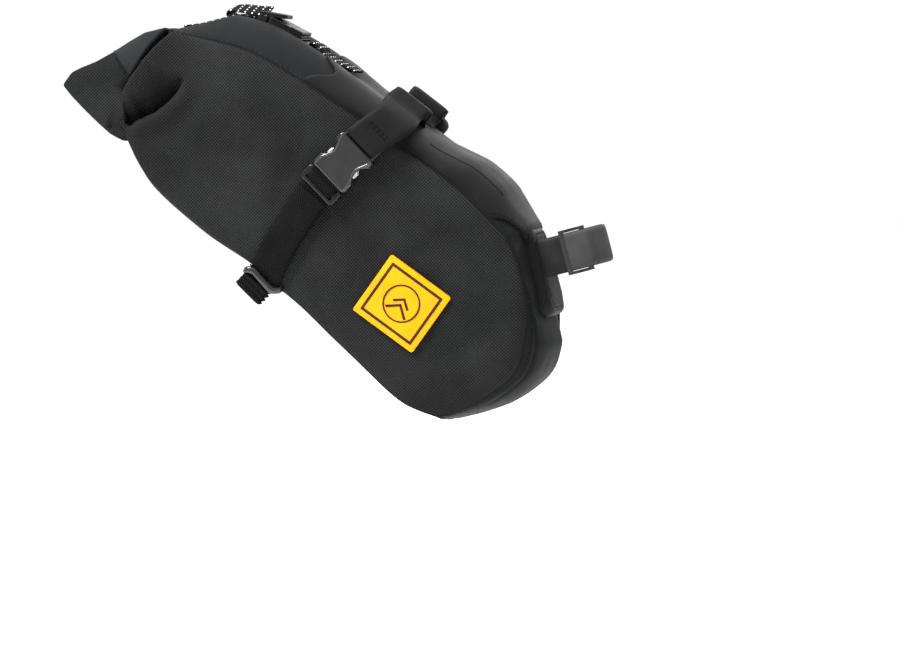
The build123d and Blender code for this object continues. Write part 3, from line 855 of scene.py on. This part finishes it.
# Patch with a pressed border and a plain ring and chevrons
patch_centre, patch_turn = (-90.0, -28.5), math.radians(-35.6)
pa = np.array([math.cos(patch_turn), math.sin(patch_turn)])
pb = np.array([-pa[1], pa[0]])
fit_in, fit_out = [], []
for a in np.linspace(-22, 22, 9):
    for b in np.linspace(-21, 21, 9):
        q = np.array(patch_centre) + a * pa + b * pb
        found = tree.ray_cast(Vector((q[0], -150, q[1])), Vector((0, 1, 0)))[0]
        if found:
            fit_in.append([1, a, b, a * a, a * b, b * b])
            fit_out.append(found.y)
patch_fit = np.linalg.lstsq(np.array(fit_in), np.array(fit_out), rcond=None)[0]
patch_clear = max(0.0, float(np.max(np.array(fit_in) @ patch_fit - np.array(fit_out))))


def on_patch(a, b, height):
    a, b = np.asarray(a, float), np.asarray(b, float)
    y = sum(k * q for k, q in zip(patch_fit, (1, a, b, a * a, a * b, b * b))) - patch_clear - height
    return np.stack([patch_centre[0] + a * pa[0] + b * pb[0], y, patch_centre[1] + a * pa[1] + b * pb[1]], -1)


def plate(name, outline, low, high, material, replaces=(), hole=None, soft=0.25):
    """A thin flat piece on the patch: an outline with a rounded top edge, or a frame between two outlines."""
    outline = np.asarray(outline, float)
    n = len(outline)
    if hole is None:
        centre = outline.mean(0)
        rings = [outline, outline, outline + unit(centre - outline) * soft]
        heights = [low, high - soft, high]
        for k in (0.75, 0.5, 0.25):
            rings.append((rings[2] - centre) * k + centre)
            heights.append(high)
        faces = grid_faces(len(rings), n, wrap=True)
        faces += [list(range(n)), list(range((len(rings) - 1) * n, len(rings) * n))[::-1]]
    else:
        rings = [outline, outline, hole, hole]
        heights = [low, high, high, low]
        faces = grid_faces(4, n, wrap=True)
        faces += [[3 * n + j, 3 * n + (j + 1) % n, (j + 1) % n, j] for j in range(n)]
    points = np.vstack([on_patch(r[:, 0], r[:, 1], h) for r, h in zip(rings, heights)])
    piece(name, points, closed(points - points.mean(0), faces), "bag", material,
          uv=np.vstack(rings), replaces=replaces, smooth=False)


def rounded(half_a, half_b, corner, count=8):
    """The outline of a rectangle with round corners."""
    points = []
    for k, (sa, sb) in enumerate(((1, 1), (-1, 1), (-1, -1), (1, -1))):
        for q in np.linspace(0, 1, count):
            angle = math.pi / 2 * (k + q)
            points.append((sa * (half_a - corner) + corner * math.cos(angle),
                           sb * (half_b - corner) + corner * math.sin(angle)))
    return np.array(points)


plate("patch_leather", rounded(21, 19.5, 1.2), -0.4, 1.7, "patch", ["patch"])
plate("patch_line", rounded(17.8, 16.3, 0.6), 1.6, 1.85, "print", ["patch_border"],
      rounded(16.2, 14.7, 0.4))
turn = np.linspace(0, 2 * math.pi, 48, endpoint=False)
circle = np.stack([np.cos(turn), np.sin(turn)], 1)
plate("patch_ring", 11.0 * circle, 1.6, 1.85, "print", hole=10.0 * circle)
for k, (low_b, size) in enumerate(((-6.0, 7.4), (-0.6, 5.6))):
    for side in (-1, 1):
        tip = low_b + size * 0.8
        bar = [(0, tip), (side * size, low_b), (side * size * 0.82, low_b - 1.0), (0, tip - 1.8)]
        plate(f"patch_chevron_{k}_{'left' if side < 0 else 'right'}", bar, 1.6, 1.85,
              "print", soft=0.05)


# ---------------------------------------------------------------- the rolled collar
ROLL = [(-228, 128.6), (-241, 125.6), (-249, 121.0), (-260, 114.0), (-270, 108.8), (-279.5, 105.2),
        (-285.0, 102.5), (-290.5, 95.2), (-285.5, 89.0), (-279.0, 82.4), (-269, 73.4), (-262, 67.2),
        (-254, 63.2), (-246, 63.6), (-240, 72), (-234, 92), (-229, 112)]
roll_line = resample(np.array(ROLL + ROLL[:1]), 161)[:-1]
roll_line = (np.roll(roll_line, 1, 0) + 2 * roll_line + np.roll(roll_line, -1, 0)) / 4
roll_mid = np.array([-255.0, 96.0])
roll_half, rim = 56.0, 1.8
profile_y = [-roll_half + rim * (1 - math.cos(q * math.pi / 2)) for q in np.linspace(0, 1, 6)]
profile_in = [rim * (1 - math.sin(q * math.pi / 2)) for q in np.linspace(0, 1, 6)]
wide = list(np.linspace(-roll_half + rim, roll_half - rim, 40))
all_y = profile_y + wide[1:-1] + [-y for y in profile_y[::-1]]
all_in = profile_in + [0.0] * (len(wide) - 2) + profile_in[::-1]
towards_mid = unit(roll_mid - roll_line)
rings = []
for y, inset in zip(all_y, all_in):
    sag = 0.96 * (1 - (y / roll_half) ** 2)
    rings.append(in_side_view(roll_line + towards_mid * (inset + sag), y))
for hand in (-1, 1):
    caps = []
    base = rings[0] if hand < 0 else rings[-1]
    for k in (0.92, 0.8, 0.66, 0.5, 0.34, 0.18):
        bow = hand * (roll_half + 0.4 - 2.2 * (1 - k) * (1 - k) + 1.2 * math.sin(math.pi * k))
        caps.append(in_side_view((base[:, [0, 2]] - roll_mid) * k + roll_mid, bow))
    rings = (caps[::-1] + rings) if hand < 0 else (rings + caps)
roll_points = np.array(rings)
bumps = value_noise(roll_points, 26, 11) * 0.9 + value_noise(roll_points, 11, 12) * 0.3
centre_out = unit(roll_points - np.array([roll_mid[0], 0, roll_mid[1]]))
roll_points = roll_points + centre_out * bumps[..., None] * 0.9
# The slot left by the last fold, and the part of each end that lies behind the side's ear
LAST_FOLD = [(-263, 73.5), (-257, 70.5), (-250, 69.0)]
EAR_LINE = [(-224, 131), (-239, 115), (-249, 99), (-252.5, 86), (-251, 70), (-249, 60)]
for hand in (-1, 1):
    on_end = (roll_points[..., 1] * hand > roll_half - 4)
    gap, run = to_line(roll_points[..., 0], roll_points[..., 2], LAST_FOLD)
    push = np.exp(-(gap / 1.6) ** 2) * smoothstep(run, -0.02, 0.1) * on_end
    roll_points[..., 1] -= hand * 4.5 * push
    gap, run = to_line(roll_points[..., 0], roll_points[..., 2], EAR_LINE)
    roll_points[..., 1] -= hand * 21.0 * smoothstep(gap, -1.5, 3.5) * on_end
count_r, count_a = roll_points.shape[:2]
flat_roll = roll_points.reshape(-1, 3)
roll_faces = grid_faces(count_r, count_a, wrap=True)
roll_faces += [list(range(count_a))[::-1], list(range((count_r - 1) * count_a, count_r * count_a))]
around = run_lengths(roll_line)
roll_uv = np.zeros((count_r, count_a, 2))
roll_uv[..., 0] = around[None]
roll_uv[..., 1] = np.array([r[:, 1].mean() for r in rings])[:, None]
ends = np.abs(roll_points[..., 1]) > roll_half - 3.2
roll_uv[ends] = roll_points[ends][:, [0, 2]]
roll = piece("roll", flat_roll, closed(flat_roll, roll_faces), "roll", "textured",
             uv=roll_uv.reshape(-1, 2),
             replaces=["roll_collar", "roll_core", "roll_board"])
roll.data.materials.append(MAT["satin"])
SEAM_A, SEAM_B = np.array([-258.5, 112.9]), np.array([-249.5, 97.6])
seam_run = unit(SEAM_B - SEAM_A)
seam_out = np.array([-seam_run[1], seam_run[0]])
seam_out = seam_out if seam_out[0] > 0 else -seam_out
cut = bmesh.new()
cut.from_mesh(roll.data)
bmesh.ops.bisect_plane(cut, geom=cut.verts[:] + cut.edges[:] + cut.faces[:], dist=1e-6,
                       plane_co=Vector((SEAM_A[0], 0, SEAM_A[1])) * MM,
                       plane_no=Vector((seam_out[0], 0, seam_out[1])))
for f in cut.faces:
    c = f.calc_center_median()
    ahead = (c.x / MM - SEAM_A[0]) * seam_out[0] + (c.z / MM - SEAM_A[1]) * seam_out[1]
    f.material_index = 1 if ahead > 0 else 0
cut.to_mesh(roll.data)
cut.free()
roll_tree = BVHTree.FromPolygons([tuple(p) for p in flat_roll], [tuple(f) for f in roll_faces])


def on_roll(start, direction):
    found = roll_tree.ray_cast(Vector(start), Vector(direction))
    return np.array(found[0]), np.array(found[1])


for hand, label in HANDS:
    line, ups = [], []
    for q in np.linspace(0.02, 0.98, 40):
        x, z = SEAM_A + (SEAM_B - SEAM_A) * q
        p, n = on_roll((x, hand * 90, z), (0, -hand, 0))
        line.append(p)
        ups.append(n * (1 if n[1] * hand > 0 else -1))
    line, ups = np.array(line), np.array(ups)
    shift = np.array([seam_out[0], 0, seam_out[1]])
    tube(f"roll_piping_{label}", line + shift * 0.4, 0.55, "roll", "smooth")
    # A dark cord sunk beside the piping: painted shade in the seam's groove.
    tube(f"roll_groove_shade_{label}", line - shift * 0.5 - ups * 0.2, 0.45, "roll", "binding")
top_seam = []
for y in np.linspace(-54.5, 54.5, 60):
    p, n = on_roll((SEAM_A[0] - 9, y, SEAM_A[1] + 16), (seam_run[0], 0, seam_run[1]))
    top_seam.append(p)
tube("roll_piping_top", np.array(top_seam), 0.5, "roll", "smooth")

# The collar between the bag's mouth and the roll, seen when the roll is swung open
mouth = through([(-227, 119), (-233, 104), (-237, 90), (-239, 76), (-237, 64)], 24)
under = through([(-237, 121), (-249, 112), (-259, 98), (-262, 84), (-257, 72)], 24)


def collar_edge(line):
    """Down the right side, across and up the left side, from a line in the side view."""
    across = in_side_view(np.tile(line[-1], (20, 1)))
    across[:, 1] = np.linspace(-36, 36, 20)
    return np.concatenate([in_side_view(line, -38), across, in_side_view(line[::-1], 38)])


rows = np.linspace(0, 1, 24)[:, None, None]
grid = collar_edge(mouth)[None] * (1 - rows) + collar_edge(under)[None] * rows
wave = 1.5 * value_noise(grid, 13, 31) * np.sin(math.pi * rows[..., 0])
grid[..., 1] += wave * np.sign(grid[..., 1])
core = np.array([-245.0, 0.0, 100.0])
band("collar", grid, grid - core, 0.9, ("bag", "roll", (-0.238, 0.0, 0.09), (-0.258, 0.0, 0.09)),
     "smooth")

# Webbing over the roll
HALF_WEB, WEB_THICK = 10, 1.4
path = through([(-229, 128.4), (-234, 127.2), (-240.5, 125.4), (-248, 121.2), (-258.3, 114.4), (-269, 108.8),
                (-278, 105.0), (-283.4, 100.6), (-285.8, 94), (-282.6, 88.4), (-277.4, 82.6)], 60)
step2 = np.gradient(path, axis=0)
out2 = unit(np.stack([-step2[:, 1], step2[:, 0]], 1))
out2 = np.where((out2 * (path - roll_mid)).sum(1, keepdims=True) < 0, -out2, out2)
out3 = in_side_view(out2)
band("roll_strap", strip(in_side_view(path) - out3 * 0.9, (0, 1, 0), HALF_WEB), out3[:, None], WEB_THICK,
     "roll",
     "flecked", ["roll_webbing"])


# ---------------------------------------------------------------- webbing and latch on top
LATCH_AT, LATCH_SLOPE, LATCH_UP = (-182, 127.8), math.radians(-27.5), (0.46, 0, 0.887)


def by_latch(x, z):
    """A place on the middle plane, from the latch: forward along it and up off it."""
    x, z = np.asarray(x, float), np.asarray(z, float)
    c, q = math.cos(LATCH_SLOPE), math.sin(LATCH_SLOPE)
    return np.stack(np.broadcast_arrays(LATCH_AT[0] + x * c - z * q, 0.0, LATCH_AT[1] + x * q + z * c), -1)


start = in_side_view(np.stack([np.linspace(-226.5, -188.5, 30), np.full(30, 150.0)], 1))
lower = lay(strip(start, (0, 1, 0), HALF_WEB), (0.25, 0, -0.97), 0.35, 80)
tail_grid = strip(by_latch(np.linspace(-5.0, -1.5, 4), np.linspace(3.2, 4.4, 4)), (0, 1, 0), HALF_WEB)
# The root lies on the roll strap's end
root = np.linspace(0, 1, 9)[:-1, None, None]
root_grid = strip(np.array([[-230.5, 0, 128.6]]), (0, 1, 0), HALF_WEB) * (1 - root) + lower[:1] * root
bends = ("bag", "closure", (-0.2300, 0.0, 0.130), (-0.2170, 0.0, 0.130))
band("closure_webbing", np.concatenate([root_grid, lower, tail_grid]), (0.2, 0, 1), WEB_THICK, bends,
     "flecked", ["closure_strap"])
loop_path = through([(-186.5, 132.6), (-190, 133.2), (-196, 134.3), (-202.4, 135.2), (-204.2, 137.2),
                     (-202.6, 139.2), (-196, 139.0), (-189, 138.0), (-181, 137.2)], 64)
tilt = np.radians(np.interp(np.linspace(0, 1, 64), [0, 0.45, 0.6, 1], [3, 8, 13, 17]))
sides = np.stack([np.zeros(64), np.cos(tilt), np.sin(tilt)], 1)
line = in_side_view(loop_path)
outwards = np.cross(np.gradient(line, axis=0), sides)
if (outwards * (line - np.array([-195, 0, 136.6]))).sum(1).mean() < 0:
    outwards = -outwards
band("closure_loop", strip(line, sides, HALF_WEB), outwards[:, None], 1.3, "closure",
     "flecked", ["closure_tail"])

FOLD = [(28.6, 1.0), (28.6, 4.4), (30.5, 5.0), (34.5, 4.8), (38.0, 2.2), (45, 1.8), (60.0, 2.0)]
fold = through(FOLD, 60)
band("front_strap", strip(by_latch(fold[:, 0], fold[:, 1]), (0, 1, 0), HALF_WEB), LATCH_UP, WEB_THICK, "bag",
     "flecked", ["front_webbing"])
for k in range(4):
    line = by_latch(np.linspace(13.0 + 0.4 * k, 22.6 - 0.3 * k, 10), 4.0 + 1.25 * k)
    band(f"latch_layer_{k}", strip(line, (0, 1, 0), 12.3 - 0.15 * (k % 2), 9), LATCH_UP, 0.8, "closure",
         "latch")


# ---------------------------------------------------------------- straps at the saddle rails
def rail_plane(y, n):
    """A place across the rails: sideways by y, and n up from the plane that the rails lie in."""
    y, n = np.asarray(y, float), np.asarray(n, float)
    return np.stack(np.broadcast_arrays(-92 + 0.6 * n, y, 83.4 + 0.8 * n), -1)


RAIL_R = 4.35
theta = np.radians(np.linspace(-25, 118, 26))
for hand, label in HANDS:
    foot = rail_plane([-6.0, -10.0, -14.5, -17.0], [-6.6, -6.4, -5.2, -3.4])
    loop = rail_plane(-22 + RAIL_R * np.cos(theta), RAIL_R * np.sin(theta))
    down = np.array([(-93.5, -32, 82.8), (-93.6, -40, 80.4), (-94.6, -48.5, 76.6), (-98.5, -54.2, 72.9),
                     (-103.5, -58.0, 69.2), (-108.0, -60.2, 66.0), (-111.3, -60.9, 63.3),
                     (-113.0, -60.0, 61.6), (-113.4, -57.6, 61.2)])
    line = np.concatenate([through(foot, 12), loop, through(np.vstack([loop[-1:], down]), 60)[1:]])
    line = resample(line, 150)
    q = np.linspace(0, 1, len(line))
    turn_to = smoothstep(q, 0.52, 0.9)[:, None]
    axis_rail, axis_buckle = np.array([0.8, 0, -0.6]), np.array([0.701, 0, -0.713])
    sides = unit(axis_rail * (1 - turn_to) + axis_buckle * turn_to)
    halves = np.interp(q, [0, 0.55, 0.9, 1.0], [12.5, 12.5, 11.0, 10.4])
    line[:, 1] *= -hand
    around = np.cross(np.gradient(line, axis=0), sides)
    rough = np.where((around[80] * np.array([0.3, hand, 0.6])).sum() < 0, -1.0, 1.0) * around
    grid = strip(line, sides, halves)
    band(f"rail_band_{label}", grid - unit(rough)[:, None] * 0.7, rough[:, None], 1.4, "bag",
         "sheet", [f"rail_strap_{label}", f"rail_strap_fold_{label}"])
    ups = grid_ups(grid, np.broadcast_to(rough[:, None], grid.shape))
    for k, at in enumerate((0.80, 0.825)):
        i = int(at * 149)
        row = slice(2, -2)
        stitches(f"rail_thread_{label}_{k}", grid[i, row] + ups[i, row] * 0.95, ups[i, row], "bag",
                 2.6, 2.0, 0.42, "dark_thread")


# ---------------------------------------------------------------- side webbing, keeper and hem
DOWN = through([(-139.5, 35.2), (-143.5, 30.2), (-147.5, 24.5), (-152.5, 17.0), (-158, 8.8), (-163.5, -0.4),
                (-168, -8.6), (-171.5, -15.5)], 70)
run_down = unit(np.gradient(DOWN, axis=0))
down_sides = in_side_view(np.stack([-run_down[:, 1], run_down[:, 0]], 1))
HALF_SIDE_WEB, SIDE_WEB_THICK = 9.9, 1.3
for hand, label in HANDS:
    start = in_side_view(DOWN, 60 * hand)
    grid = lay(strip(start, down_sides, HALF_SIDE_WEB), (0, -hand, 0), 0.35, 80, 6)
    lead = smoothstep(np.linspace(1, 0, 70), 0.86, 1.0)[:, None]
    grid[..., 1] += hand * np.clip(56.6 - np.abs(grid[..., 1]), 0, None) * lead
    # Runs between the bottom seam and the plug at the other end
    slide = ("bag", f"plug_{label}", (-0.164, 0.0, -0.002), (-0.141, 0.0, 0.033))
    band(f"webbing_{label}", grid, (0, hand, 0), SIDE_WEB_THICK, slide, "webbing",
         [f"side_webbing_{label}"])
    tail = grid[3:].copy()
    tail[..., 1] += hand * (1.75 + 1.0 * np.sin(np.linspace(0, math.pi, 67)) ** 2)[:, None]
    band(f"tail_{label}", tail, (0, hand, 0), SIDE_WEB_THICK, slide, "webbing",
         [f"side_tail_{label}"])

BUCKLE_AT, BUCKLE_Y, BUCKLE_TURN = (-125.6, 49.0), 54.6, math.radians(44.5)


def by_buckle(hand, x, y, z):
    """A place on a buckle: along it towards the rail, across it, and outwards from the bag."""
    x, y, z = (np.asarray(k, float) for k in np.broadcast_arrays(x, y, z))
    c, q = math.cos(BUCKLE_TURN), math.sin(BUCKLE_TURN)
    return np.stack([BUCKLE_AT[0] + x * c - y * q, hand * (BUCKLE_Y + z), BUCKLE_AT[1] + x * q + y * c], -1)


# The webbing's turn round the plug's bars, and the moulded edges of the socket
turn_x, turn_z = through([(-20.4, 1.6), (-18.2, 1.7), (-16.6, 2.6), (-16.1, 4.6), (-15.7, 6.8), (-14.6, 8.0),
                          (-13.4, 8.2), (-12.2, 8.0), (-11.2, 6.8), (-10.9, 4.6), (-10.9, 2.2)], 60).T
ridge = through([(-7.6, -11.2), (-3.0, -11.0), (1.0, -9.3), (5.0, -8.2), (9.0, -9.3), (13.0, -11.0),
                 (15.2, -11.2)], 60)
for hand, label in HANDS:
    across = np.linspace(-9.4, 9.4, 13)
    grid = np.stack([by_buckle(hand, turn_x, w2, turn_z - 0.6) for w2 in across], 1)
    middle = by_buckle(hand, -13.5, 0.0, 3.0)
    band(f"plug_webbing_{label}", grid, grid - middle, 1.1, f"plug_{label}", "webbing")
    for k, side in enumerate((-1, 1)):
        tube(f"socket_edge_{k}_{label}", by_buckle(hand, ridge[:, 0], side * ridge[:, 1], 6.75), 0.8,
             "bag", "buckle", 10)

# One length of webbing under the bag, between the bottom seams
bottom_at = np.interp(-172.5, flat_loop[::-1, 0][:NU], lengths[::-1][:NU])
across_t = np.linspace(-1.0, 1.0, 60)
along_s = np.linspace(bottom_at - HALF_SIDE_WEB, bottom_at + HALF_SIDE_WEB, 9)
at, up = on_gusset(along_s[None], across_t[:, None])
band("base_strap", at + up * 0.4, up, SIDE_WEB_THICK, "bag", "webbing", ["base_webbing"])

# The section of the keeper's rubber, and its loop seen along the webbing
KEEPER_X, KEEPER_HALF, KEEPER_DEPTH = -172.0, 11.6, 4.4
KEEPER_SECTION = [(-1.9, 0.0), (-1.9, 0.8), (-1.3, 1.3), (1.3, 1.3), (1.9, 0.8), (1.9, 0.0)]
around_keeper = np.linspace(0, 2 * math.pi, 64, endpoint=False)
ca, sa = np.cos(around_keeper), np.sin(around_keeper)
keeper_loop = np.stack([KEEPER_HALF * np.abs(ca) ** 0.28 * np.sign(ca),
                        KEEPER_DEPTH * np.abs(sa) ** 0.5 * np.sign(sa)], 1)
for hand, label in HANDS:
    w = float(seam_half_width(KEEPER_X))
    sideways = np.array([0, hand, 0])
    # Folded end: layers stacked against the bottom edge
    ahead, width_dir = np.array([-0.69, 0, -0.72]), np.array([0.72, 0, -0.69])
    centre = np.array([-177.6, hand * (w + 1.0), -20.2])
    zig = []
    for k in range(6):
        d = 1.45 * k - 0.7
        end = -4.2 if k % 2 == 0 else 4.2
        zig += [(end, d), (-end, d + 0.1)]
    zig = resample(through(zig, 90), 90)
    line = centre + ahead * (zig[:, 1:2] - 2.0) + sideways * zig[:, :1]
    aside = np.cross(np.gradient(line, axis=0), width_dir)
    band(f"hem_{label}", strip(line, width_dir, 9.2, 11), aside[:, None], 1.05, "bag", "webbing")
    # Keeper: a rounded loop of rubber round the webbing
    bow = 2.6 * np.sin(keeper_loop[:, 0] / KEEPER_HALF * 2.9)
    middle = np.array([KEEPER_X, hand * (w + 2.6), -16.2])
    strap_dir, across_dir = np.array([-0.435, 0, -0.9]), np.array([0.9, 0, -0.435])
    along_x, along_y = across_dir * keeper_loop[:, :1], sideways * keeper_loop[:, 1:]
    ring3 = middle + along_x + along_y + strap_dir * bow[:, None]
    outdir = unit(along_x / KEEPER_HALF + along_y / KEEPER_DEPTH)
    points = np.stack([ring3 + strap_dir * a + outdir * b for a, b in KEEPER_SECTION], 1).reshape(-1, 3)
    n = len(KEEPER_SECTION)
    faces = []
    for i in range(len(keeper_loop)):
        for j in range(n):
            here, ahead_row, k = i * n, (i + 1) % len(keeper_loop) * n, (j + 1) % n
            faces.append([here + j, here + k, ahead_row + k, ahead_row + j])
    piece(f"keeper_loop_{label}", points, closed(points, faces), "bag", "keeper",
          replaces=[f"keeper_{label}"])


# ---------------------------------------------------------------- seat post strap and pad
TILT = math.radians(15)
POST_X, POST_Z = np.array([math.cos(TILT), 0, math.sin(TILT)]), np.array([-math.sin(TILT), 0, math.cos(TILT)])


def by_post(x, y, z):
    x, y, z = (np.asarray(k, float)[..., None] for k in np.broadcast_arrays(x, y, z))
    return x * POST_X + y * np.array([0, 1.0, 0]) + z * POST_Z


radius, POST_HALF, POST_THICK = 15.9, 11, 1.7
arc = np.radians(np.linspace(-90, 90, 60))
straight = np.linspace(-24, -1, 14)
line2 = np.concatenate([np.stack([straight, np.full(14, -radius)], 1),
                        np.stack([radius * np.cos(arc), radius * np.sin(arc)], 1),
                        np.stack([straight[::-1], np.full(14, radius)], 1)])
out2 = np.stack([np.r_[np.zeros(14), np.cos(arc), np.zeros(14)],
                 np.r_[-np.ones(14), np.sin(arc), np.ones(14)]], 1)
grid = np.stack([by_post(line2[:, 0], line2[:, 1], h) for h in np.linspace(-POST_HALF, POST_HALF, 11)], 1)
ups = by_post(out2[:, 0], out2[:, 1], 0)[:, None]
band("post_band", grid, np.broadcast_to(ups, grid.shape), POST_THICK, "bag", "strap",
     ["post_strap"])


def post_arc(name, low, high, count, radii, half, thick, body, material, replaces=()):
    """A band round the post between two angles, its radius given at some angles."""
    arc = np.radians(np.linspace(low, high, count))
    r = np.interp(np.degrees(arc), *radii)
    grid = np.stack([by_post(r * np.cos(arc), r * np.sin(arc), h) for h in np.linspace(-half, half, 11)], 1)
    ups = by_post(np.cos(arc), np.sin(arc), 0)[:, None]
    band(name, grid, np.broadcast_to(ups, grid.shape), thick, body, material, replaces)


# The loose end's root lies on the strap round the post
bend_from, bend_to = (tuple(float(k) * MM for k in by_post(18.0 * math.cos(a), 18.0 * math.sin(a), 0.0))
                      for a in np.radians((28, -4)))
post_arc("post_tail_band", -72, 34, 54, ([-72, -56, -50, 10, 34], [20.5, 20.2, 18.0, 18.0, 17.7]), POST_HALF,
         POST_THICK, ("bag", "post_tail", bend_from, bend_to), "strap", ["post_strap_tail"])
# The folded tail takes the paler sheet, a painted highlight.
post_arc("post_tail_fold", -90, -6, 44, ([-90, -56, -50, -6], [22.4, 22.2, 20.6, 19.9]), 10.6, 1.5,
         "post_tail", "strap_fold")

# Pad: a soft rim with an open mesh face set into it
mid_z, half_z, half_y = -7.25, 25.75, 22.0


def pad_ring(shrink, x, corner):
    outline = rounded(half_y - shrink, half_z - shrink, max(corner - shrink * 0.5, 2.0), 10)
    return by_post(x, outline[:, 0], outline[:, 1] + mid_z)


def shrunk(ring, k):
    return (ring - ring.mean(0)) * k + ring.mean(0)


RIM_LEVELS = [(2.6, -31.5), (1.0, -30.0), (0.0, -27.0), (-0.5, -23.5), (0.0, -20.4), (0.7, -18.8),
              (1.8, -17.7), (3.0, -17.4), (3.9, -18.0)]
rings = [pad_ring(shrink, x, 10) for shrink, x in RIM_LEVELS]
for k in (0.85, 0.6, 0.3):
    rings.append(shrunk(rings[-1], k))
rings = [shrunk(rings[0], k) for k in (0.3, 0.7)] + rings
points = np.array(rings)
offset = value_noise(points, 14, 21)[..., None] * 0.35
points = points + unit(points - points.mean((0, 1))) * offset
flat_points = points.reshape(-1, 3)
n = points.shape[1]
faces = capped_faces(len(rings), n)
shell_uv = np.stack(np.meshgrid(np.linspace(0, 150, n), np.linspace(0, 40, len(rings))), -1)
pad_rim = piece("pad_rim", flat_points, closed(flat_points, faces), "bag", "pad_sheet",
                uv=shell_uv.reshape(-1, 2), replaces=["pad_shell", "pad_foam"])
NET_LEVELS = [(4.2, -19.5), (4.2, -17.6), (4.8, -16.9), (6.2, -16.5), (9.5, -16.3), (14.0, -16.2)]
rings = [pad_ring(shrink, x, 10) for shrink, x in NET_LEVELS]
rings += [shrunk(rings[-1], k) for k in (0.66, 0.33)]
flat_points = np.array(rings).reshape(-1, 3)
faces = capped_faces(len(rings), n)
net_uv = np.stack([flat_points[:, 1], flat_points @ POST_Z], 1)
pad_net = piece("pad_net", flat_points, closed(flat_points, faces), "bag", "net", uv=net_uv,
                replaces=["pad_mesh"])

# ---------------------------------------------------------------- hard parts keep their CAD shape
HARD = {"latch_base": "latch", "latch_upper": "latch", "thumb_tab": "latch", "latch_magnet_base": "magnet",
        "latch_magnet_upper": "magnet", "post_ring": "ring"}
# The prongs get the pale plastic, which is a painted glint.
for _, label in HANDS:
    HARD |= {f"buckle_socket_{label}": "buckle", f"buckle_plug_{label}": "plug",
             f"prong_upper_{label}": "prong", f"prong_lower_{label}": "prong"}
for node, key in HARD.items():
    nodes[node].data.materials.clear()
    nodes[node].data.materials.append(MAT[key])
